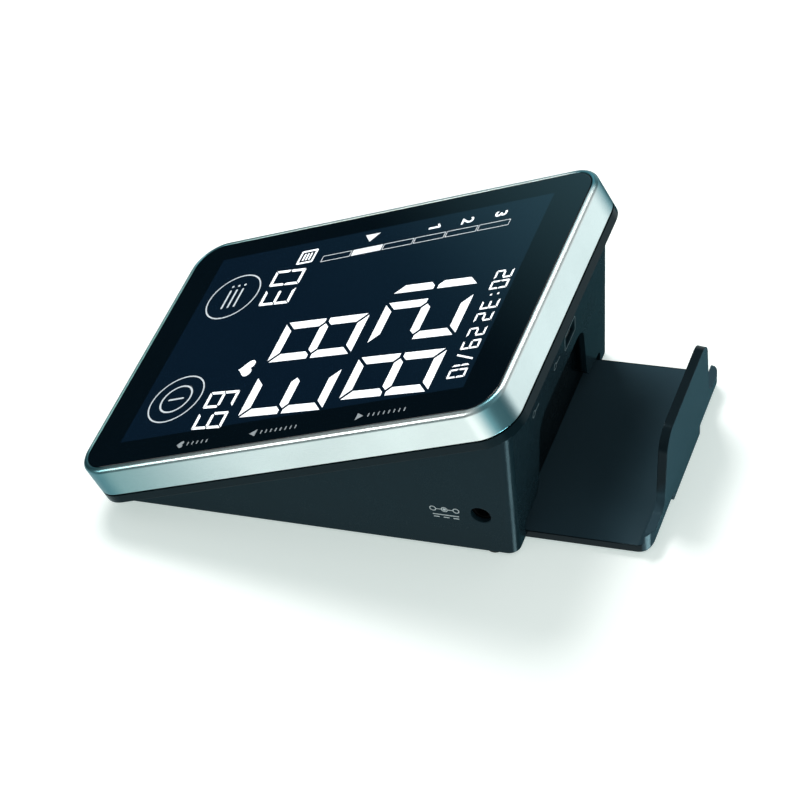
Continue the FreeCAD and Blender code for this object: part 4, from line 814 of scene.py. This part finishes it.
def figure_bars(width, height, stroke, gap):
    """Outlines of the seven bars, mitred at 45 degrees with a gap between neighbours."""
    half, middle, inner = stroke / 2, height / 2, stroke + gap
    top = np.array(
        [
            (gap, height),
            (width - gap, height),
            (width - inner, height - stroke),
            (inner, height - stroke),
        ]
    )
    upper_right = np.array(
        [
            (width, height - gap),
            (width - stroke, height - inner),
            (width - stroke, middle + half + gap),
            (width - half, middle + gap),
            (width, middle + gap),
        ]
    )
    centre = np.array(
        [
            (half + gap, middle),
            (inner, middle + half),
            (width - inner, middle + half),
            (width - half - gap, middle),
            (width - inner, middle - half),
            (inner, middle - half),
        ]
    )
    over, across = np.array([0, height]), np.array([width, 0])
    flip, mirror = np.array([1, -1]), np.array([-1, 1])
    return {
        "a": top,
        "b": upper_right,
        "c": over + upper_right * flip,
        "d": over + top * flip,
        "e": over + (across + upper_right * mirror) * flip,
        "f": across + upper_right * mirror,
        "g": centre,
    }


def draw_figure(marks, figure, left, row):
    """One figure of a row: its lit bars, the two dots of a colon, or a slash."""
    if figure in BARS:
        bars = figure_bars(row.width, row.height, row.stroke, row.gap)
        for bar in BARS[figure]:
            across, up = bars[bar].T
            marks.tile(np.stack([left + across + row.lean * up, row.foot + up], -1))
    elif figure == ":":
        for share in (0.3, 0.7):
            centre = (left + row.stroke, row.foot + share * row.height)
            marks.bar(row.stroke, row.stroke, 0.1, centre)
    else:
        reach, top = 3.4, row.height
        slash = np.array([(0, 0), (row.stroke, 0), (reach, top), (reach - row.stroke, top)])
        marks.tile(slash + (left, row.foot))


# ---- Pieces -----------------------------------------------------------------------------------


class MONITOR_OT_trim(bpy.types.Operator):
    """Silver band round the display plate: a rounded profile carried round its outline."""

    bl_idname = "monitor.trim"
    bl_label = "Silver trim"

    def execute(self, context):
        sizes = context.scene.console_sizes
        outline = rounded_rectangle(sizes.trim_width, sizes.trim_length, sizes.trim_corner, steps=24)
        depth, wall = sizes.trim_depth, sizes.trim_wall
        # The band's outer foot, outer top, inner top and inner foot, and their rounding.
        corners = [(0, -depth), (0, 0), (-wall, 0), (-wall, -depth)]
        radii = (0.35 * MM, sizes.trim_round, 0.25 * MM, 0.2 * MM)
        shape = Shape()
        shape.band(plate_face(sizes), *outline, rounded_profile(corners, radii))
        material = trim_silver(sizes, context.scene.finish_colours)
        shape.piece("silver_band", material, "silver_trim", ("trim_frame",), smooth=True)
        return {"FINISHED"}


class MONITOR_OT_glass(bpy.types.Operator):
    """Cover glass: an edge profile carried round its outline, closed by a flat face and back."""

    bl_idname = "monitor.glass"
    bl_label = "Cover glass"

    def execute(self, context):
        sizes = context.scene.console_sizes
        inset = sizes.trim_wall + sizes.glass_gap
        path, normals = rounded_rectangle(
            sizes.trim_width - 2 * inset,
            sizes.trim_length - 2 * inset,
            sizes.trim_corner - inset,
            steps=24,
        )
        edge, thickness, margin = sizes.glass_round, sizes.glass_thickness, FLAT_MARGIN
        turn = np.linspace(0, math.pi / 2, 6)
        arc = np.stack([edge * (np.cos(turn) - 1), edge * (np.sin(turn) - 1)], -1)
        side = [(-margin, -thickness), (0, -thickness), (0, -edge - margin)]
        profile = np.concatenate([side, arc, [(-edge - margin, 0)]])
        rings = len(profile)
        back = np.arange(len(path)) * rings
        walls = quads(len(path), rings, close_columns=False)
        shape = Shape()
        shape.add(
            carried(plate_face(sizes), path, normals, profile),
            walls + [(back + rings - 1).tolist(), back[::-1].tolist()],
        )
        material = display_glass(sizes, context.scene.finish_colours)
        shape.piece("glass_face", material, "cover_glass", ("cover_lens",), smooth=True)
        return {"FINISHED"}


class MONITOR_OT_readings(bpy.types.Operator):
    """Lit figures of the display: mitred bars of upper, lower, pulse, memory, time and date."""

    bl_idname = "monitor.readings"
    bl_label = "Readings"

    def execute(self, context):
        scene = context.scene
        material = lit_segment("lit segments", scene.finish_colours)
        for setting, row in FIGURE_ROWS.items():
            marks = plate_marks(scene.console_sizes)
            for figure, left in zip(getattr(scene.readings, setting), row.lefts):
                draw_figure(marks, figure, left, row)
            marks.piece(row.piece, material, "display_cell")
        return {"FINISHED"}


class MONITOR_OT_symbols(bpy.types.Operator):
    """Small lit symbols: the pulse heart, the boxed memory mark and the pressure scale."""

    bl_idname = "monitor.symbols"
    bl_label = "Symbols and scale"

    def execute(self, context):
        sizes, colours = context.scene.console_sizes, context.scene.finish_colours
        material = lit_segment("lit symbols", colours)
        heart = plate_marks(sizes)
        heart.tile(heart_outline(3.7, 3.4, (16.2, -28.0)))
        heart.piece("pulse_heart", material, "display_cell")
        mark = plate_marks(sizes)
        across, up, pitch = -37.0, -28.0, 1.3
        mark.line(rounded_rectangle(6.6, 6.8, 0.6, (across, up), 5), 0.8)
        for step in (-1, 0, 1):
            mark.bar(3.4, 0.7, 0.1, (across, up + step * pitch))
        mark.piece("memory_mark", material, "display_cell")
        scale = plate_marks(sizes)
        across, foot, top, gap, filled = -34.1, -21.0, 53.2, 0.5, 1
        edges = np.linspace(foot, top, 7)
        for cell, (low, high) in enumerate(zip(edges, edges[1:])):
            outline = rounded_rectangle(2.9, high - low - gap, 0.15, (across, (low + high) / 2), 3)
            if cell == filled:
                scale.tile(outline[0])
            else:
                scale.line(outline, 0.2)
        pointer = [(-42.2, -6.3), (-38.4, -3.3), (-42.2, -0.3)]
        scale.tile(pointer)
        scale.piece("pressure_scale", lit_segment("scale lines", colours, strength=0.3), "display_cell")
        return {"FINISHED"}


class MONITOR_OT_numerals(bpy.types.Operator):
    """Numerals beside the pressure scale: a drawn stem with a flag, and two made from type."""

    bl_idname = "monitor.numerals"
    bl_label = "Scale numerals"

    def execute(self, context):
        sizes = context.scene.console_sizes
        marks = plate_marks(sizes)
        stem = [(-0.1, 0), (0.75, 0), (0.75, 4.5), (0.1, 4.5), (-1.2, 3.7), (-1.2, 2.9), (-0.1, 3.5)]
        marks.tile(np.array(stem) + (-39.3, 20.1))
        for numeral, up in (("2", 33.0), ("3", 45.7)):
            points, faces = self.type_mesh(context, numeral, 6.2 * MM, sizes.print_rise)
            across, along, height = points.T
            marks.add(marks.face.point(across - 39.2 * MM, along + up * MM, height), faces)
        material = lit_segment("lit numerals", context.scene.finish_colours)
        marks.piece("scale_numerals", material, "display_cell")
        return {"FINISHED"}

    def type_mesh(self, context, numeral, size, rise):
        """Points and faces of a numeral of type, made a mesh and centred across."""
        letter = bpy.data.curves.new("numeral", "FONT")
        letter.body, letter.size = numeral, size
        letter.extrude, letter.offset = rise, 0.1 * MM
        holder = new_object("numeral", letter)
        context.view_layer.update()
        set_type = holder.evaluated_get(context.evaluated_depsgraph_get())
        flat = bpy.data.meshes.new_from_object(set_type)
        points = np.empty(len(flat.vertices) * 3)
        flat.vertices.foreach_get("co", points)
        points = points.reshape(-1, 3)
        faces = [list(polygon.vertices) for polygon in flat.polygons]
        bpy.data.objects.remove(holder)
        bpy.data.meshes.remove(flat)
        return points - (points[:, 0].mean(), 0, 0), faces


class MONITOR_OT_touch_keys(bpy.types.Operator):
    """The two touch keys: printed rings with a bar and a list inside."""

    bl_idname = "monitor.touch_keys"
    bl_label = "Touch keys"

    def execute(self, context):
        sizes = context.scene.console_sizes
        # The key print's glow is painted light.
        material = printed("key print", context.scene.finish_colours.key_print, glow=0.35)
        radius, stroke, up = 10.65, 0.52, -52.55
        power_across, memory_across = 25.5, -23.0
        power = plate_marks(sizes)
        power.ring(radius, (power_across, up), stroke, 96)
        power.ring(6.25, (power_across, up), 0.65, 72)
        power.bar(0.7, 6.4, 0.3, (power_across, up), 5)
        power.piece("power_key", material, "display_cell")
        memory = plate_marks(sizes)
        memory.ring(radius, (memory_across, up), stroke, 96)
        for row in (-2.6, 0, 2.6):
            memory.bar(9.0, 0.75, 0.3, (memory_across + 0.9, up + row), 5)
            memory.dot(0.5, (memory_across - 5.4, up + row), 16)
        memory.piece("memory_key", material, "display_cell")
        return {"FINISHED"}


class MONITOR_OT_edge_marks(bpy.types.Operator):
    """Printed guides on the glass: ticks beside each reading, with a heart or an arrow up or down."""

    bl_idname = "monitor.edge_marks"
    bl_label = "Edge marks"

    def execute(self, context):
        marks = plate_marks(context.scene.console_sizes)
        across, pitch = 48.4, 1.9
        marks.tile(heart_outline(1.5, 1.5, (across, -39.2)))
        arrow = np.array([(-1.5, -1.1), (1.5, -1.1), (0, 1.5)])
        marks.tile(arrow * (1, -1) + (across, -10.2))
        marks.tile(arrow + (across, 30.4))
        for start, end in ((-36.2, -27.6), (-7.0, 7.6), (33.8, 48.4)):
            for up in np.arange(start, end, pitch):
                marks.bar(1.5, 0.45, 0.12, (across, up))
        material = printed("border print", context.scene.finish_colours.border_print)
        marks.piece("edge_marks", material, "cover_glass")
        return {"FINISHED"}


class MONITOR_OT_wall_marks(bpy.types.Operator):
    """Printed marks on the walls: polarity beside the mains inlet, and marks on the rear wall."""

    bl_idname = "monitor.wall_marks"
    bl_label = "Wall marks"

    def execute(self, context):
        sizes, colours = context.scene.console_sizes, context.scene.finish_colours
        marks = Marks(side_face(sizes), sizes.print_rise)
        along, up, pitch = 48.4, 19.0, 3.8
        for step in (-1, 0, 1):
            marks.ring(1.1, (along + step * pitch, up), 0.32, 32)
        marks.dot(0.55, (along, up), 20)
        for step in (-0.5, 0.5):
            marks.bar(1.6, 0.3, 0.1, (along + step * pitch, up))
        marks.bar(8.6, 0.4, 0.1, (along, 16.4))
        for shift in (-3.2, 0, 3.2):
            marks.bar(1.9, 0.4, 0.1, (along + shift, 15.3))
        # The wall print's glow is painted light on an unlit wall.
        ink = printed("wall print", colours.wall_print, glow=0.1)
        marks.piece("inlet_marks", ink, "body_shell")
        back = Marks(rear_face(sizes), sizes.print_rise)
        port_along, up = 9.0, 43.9
        back.line(rounded_rectangle(10.6, 6.2, 1.0, (port_along, up), 6), 0.3)
        for along in (-4.0, -24.7):
            back.ring(1.3, (along - 1.8, up), 0.35, 28)
            back.bar(3.4, 0.4, 0.1, (along + 1.2, up))
        back.piece("rear_marks", printed("rear print", colours.rear_print), "body_shell")
        return {"FINISHED"}


class MONITOR_OT_shells(bpy.types.Operator):
    """Finishes of the housings, the cuff bracket, the battery door and the feet."""

    bl_idname = "monitor.shells"
    bl_label = "Shells"

    def execute(self, context):
        sizes, colours = context.scene.console_sizes, context.scene.finish_colours
        # Painted shade darkens the body in its rear recess and the bracket on its edges.
        recess, edges = recess_painted_shade(sizes), bracket_edge_painted_shade(sizes)
        for node, name, colour, roughness, specular, edge, dark in (
            ("lower_housing", "body shell", colours.body, 0.24, 0.035, 0.6 * MM, recess),
            ("upper_housing", "gloss strip", colours.strip, 0.12, 0.08, 0.25 * MM, None),
            ("cuff_bracket", "bracket plastic", colours.bracket, 0.15, 0.07, 0.4 * MM, edges),
            ("battery_door", "door plastic", colours.body, 0.30, 0.06, 0.3 * MM, None),
        ):
            shell = moulded(
                name, colour, roughness, specular=specular, edge=edge, gloss=colours.gloss, dark=dark
            )
            dress_node(node, shell)
        dress_node("rubber_feet", rubbery("foot rubber", (0.012, 0.012, 0.013)))
        return {"FINISHED"}


class MONITOR_OT_inside(bpy.types.Operator):
    """Finishes of everything inside, and of the inlets and screws that show through the walls."""

    bl_idname = "monitor.inside"
    bl_label = "Inside"

    def execute(self, context):
        finishes = {
            "touch_sensor": moulded("touch sensor", (0.45, 0.50, 0.52), 0.1, specular=0.5),
            "display_cell": moulded("display cell", (0.010, 0.016, 0.045), 0.08, specular=0.5),
            "light_guide": moulded("light guide", (0.72, 0.76, 0.78), 0.2, specular=0.4),
            "holder_plastic": moulded("holder plastic", (0.55, 0.56, 0.54), 0.5),
            "elastomer": rubbery("elastomer", (0.05, 0.05, 0.055)),
            "circuit_board": lacquered_board("circuit board", (0.010, 0.095, 0.035)),
            "chip_black": moulded("chip black", (0.018, 0.018, 0.019), 0.55, grain=0.15 * MM),
            "screw_steel": plated("screw steel", (0.52, 0.53, 0.55), 0.32),
            "jack_black": moulded("jack black", (0.004, 0.005, 0.006), 0.45, specular=0.15),
            "contact_metal": plated("contact metal", (0.66, 0.65, 0.61), 0.2),
            "ribbon": moulded("ribbon", (0.50, 0.50, 0.48), 0.5, grain=1.0 * MM),
            "cell_wrap": wrapped_cell("cell wrap", (0.05, 0.09, 0.18)),
            "motor_steel": plated("motor steel", (0.50, 0.51, 0.52), 0.34, streak=(0.08, 1, 1)),
            "magnet": moulded("magnet", (0.045, 0.045, 0.05), 0.6, grain=0.2 * MM),
            "moulded_white": moulded("moulded white", (0.64, 0.64, 0.60), 0.42),
            "diaphragm_rubber": rubbery("diaphragm rubber", (0.02, 0.02, 0.021)),
            "hose_rubber": rubbery("hose rubber", (0.52, 0.52, 0.47), 0.45, 0.4),
            "socket_plastic": moulded("socket plastic", (0.075, 0.09, 0.095), 0.4),
            "coil_copper": wound_copper("coil copper", (0.55, 0.24, 0.09)),
        }
        for entry in frame["record"]["subparts"]:
            if entry["material_slot"] in finishes:
                dress_node(entry["node"], finishes[entry["material_slot"]])
        return {"FINISHED"}


# ---- Stage ------------------------------------------------------------------------------------

# Where each reflecting card stands, the cosines at which it begins and is full, and its colour.
CARDS = (
    ((0.35, 0.45, 0.82), -0.10, 0.60, (0.40, 0.40, 0.40)),
    ((-0.80, -0.52, 0.30), 0.974, 0.998, (0.42, 0.95, 1.12)),
    ((0.0, 0.0, -1.0), 0.0, 0.50, (0.04, 0.12, 0.14)),
    ((0.705, 0.19, -0.68), 0.75, 0.91, (1.45, 1.38, 1.32)),
    ((0.256, 0.519, -0.806), 0.965, 0.992, (13.0, 19.0, 20.0)),
    ((-0.68, 0.68, -0.26), 0.80, 0.97, (0.95, 1.0, 1.0)),
    ((0.12, -0.70, -0.70), 0.78, 0.90, (0.60, 0.66, 0.66)),
    ((-1.00, -0.10, 0.00), 0.88, 0.98, (0.60, 0.66, 0.66)),
)


def lay_floor(colours):
    """A round floor that reflections don't show."""
    radius = 6.0
    rim, _ = circle_path(radius, steps=96)
    points = np.column_stack([rim, np.zeros(len(rim))])
    mesh = bpy.data.meshes.new("floor")
    mesh.from_pydata(points.tolist(), [], [list(range(len(rim)))])
    finish = Finish("floor")
    pale = colours.floor
    mesh.materials.append(
        finish.surface(
            Base_Color=finish.mix(finish.noise(0.4, 2), toned(pale, 0.985), pale),
            Emission_Color=colours.floor_glow,
            Emission_Strength=1.0,
            Roughness=0.9,
            Specular_IOR_Level=0.1,
        )
    )
    floor = new_object("floor", mesh)
    floor.visible_glossy = False


def stand_camera(studio):
    """The scene's camera: it looks away from its back, and its right is up cross back."""
    lens = bpy.data.cameras.new("camera")
    lens.lens, lens.sensor_width, lens.sensor_fit = studio.lens, 36, "HORIZONTAL"
    lens.clip_start, lens.clip_end = 0.01, 50
    back = -Vector(studio.camera_view).normalized()
    right = Vector(studio.camera_up).cross(back).normalized()
    turned = Matrix((right, back.cross(right), back)).transposed().to_4x4()
    camera = new_object("camera", lens)
    camera.matrix_world = Matrix.Translation(studio.camera_place) @ turned
    bpy.context.scene.camera = camera


def hang_softboxes(studio):
    """Square softboxes that face the object; the rims light nothing but gloss."""
    for name, place, side, watts, gloss_only in (
        ("key", (-0.48, -0.31, 1.12), 0.44, studio.key_power, False),
        ("fill", (0.25, 1.3, 1.0), 0.9, studio.fill_power, False),
        ("rear rim", (-0.75, 0.22, 0.95), 0.25, studio.rear_rim_power, True),
        ("side rim", (0.64, -0.90, 0.50), 0.50, studio.side_rim_power, True),
    ):
        lamp = bpy.data.lights.new(name, "AREA")
        lamp.shape, lamp.size, lamp.energy = "SQUARE", side, watts
        lamp.color = (1.0, 0.99, 0.97)
        holder = new_object(name, lamp)
        turned = Vector(place).normalized().to_track_quat("Z", "Y").to_matrix().to_4x4()
        holder.matrix_world = Matrix.Translation(place) @ turned
        holder.visible_diffuse = not gloss_only


def hang_cards(colours, strength):
    """A dark sky with reflecting cards, each added where a direction comes near the card's own.

    How near is the dot product of the two unit vectors, the cosine of the angle between them.
    """
    world = bpy.data.worlds.new("sky")
    world.use_nodes = True
    sky = Nodes(world.node_tree)
    seen = sky.node("ShaderNodeTexCoord", output="Generated")
    lit = colours.sky
    for toward, low, high, colour in CARDS:
        inputs = {0: seen, 1: Vector(toward).normalized()}
        cosine = sky.node("ShaderNodeVectorMath", {"operation": "DOT_PRODUCT"}, inputs, "Value")
        lit = sky.mix(sky.ease(cosine, low, high), lit, colour, "ADD")
    background = sky.tree.nodes["Background"]
    sky.feed(background.inputs["Color"], lit)
    sky.feed(background.inputs["Strength"], strength)
    bpy.context.scene.world = world


class MONITOR_OT_stage(bpy.types.Operator):
    """Pale floor, camera, softboxes and a dark sky with reflecting cards."""

    bl_idname = "monitor.stage"
    bl_label = "Stage"

    def execute(self, context):
        scene = context.scene
        lay_floor(scene.finish_colours)
        stand_camera(scene.studio)
        hang_softboxes(scene.studio)
        hang_cards(scene.finish_colours, scene.studio.cards)
        scene.view_settings.view_transform = "Standard"
        return {"FINISHED"}


# ---- Add-on -----------------------------------------------------------------------------------


class MONITOR_PT_panel(bpy.types.Panel):
    """Lists the settings and the steps that dress the console."""

    bl_idname = "MONITOR_PT_panel"
    bl_label = "Blood pressure monitor"
    bl_space_type = "VIEW_3D"
    bl_region_type = "UI"
    bl_category = "Monitor"

    def draw(self, context):
        for group in SETTINGS:
            settings = getattr(context.scene, group)
            box = self.layout.box()
            for name in settings.__annotations__:
                box.prop(settings, name)
        for operator in STEPS:
            self.layout.operator(operator.bl_idname)


SETTINGS = {
    "console_sizes": ConsoleSizes,
    "readings": Readings,
    "finish_colours": FinishColours,
    "studio": Studio,
}
STEPS = (
    MONITOR_OT_stage,
    MONITOR_OT_trim,
    MONITOR_OT_glass,
    MONITOR_OT_readings,
    MONITOR_OT_symbols,
    MONITOR_OT_numerals,
    MONITOR_OT_touch_keys,
    MONITOR_OT_edge_marks,
    MONITOR_OT_wall_marks,
    MONITOR_OT_shells,
    MONITOR_OT_inside,
)


def register():
    for kind in (*SETTINGS.values(), *STEPS, MONITOR_PT_panel):
        bpy.utils.register_class(kind)
    for name, group in SETTINGS.items():
        setattr(bpy.types.Scene, name, PointerProperty(type=group))


def unregister():
    for name in SETTINGS:
        delattr(bpy.types.Scene, name)
    for kind in reversed((*SETTINGS.values(), *STEPS, MONITOR_PT_panel)):
        bpy.utils.unregister_class(kind)


def main():
    register()
    for step in STEPS:
        group, name = step.bl_idname.split(".")
        getattr(getattr(bpy.ops, group), name)()


if __name__ == "__main__":
    main()
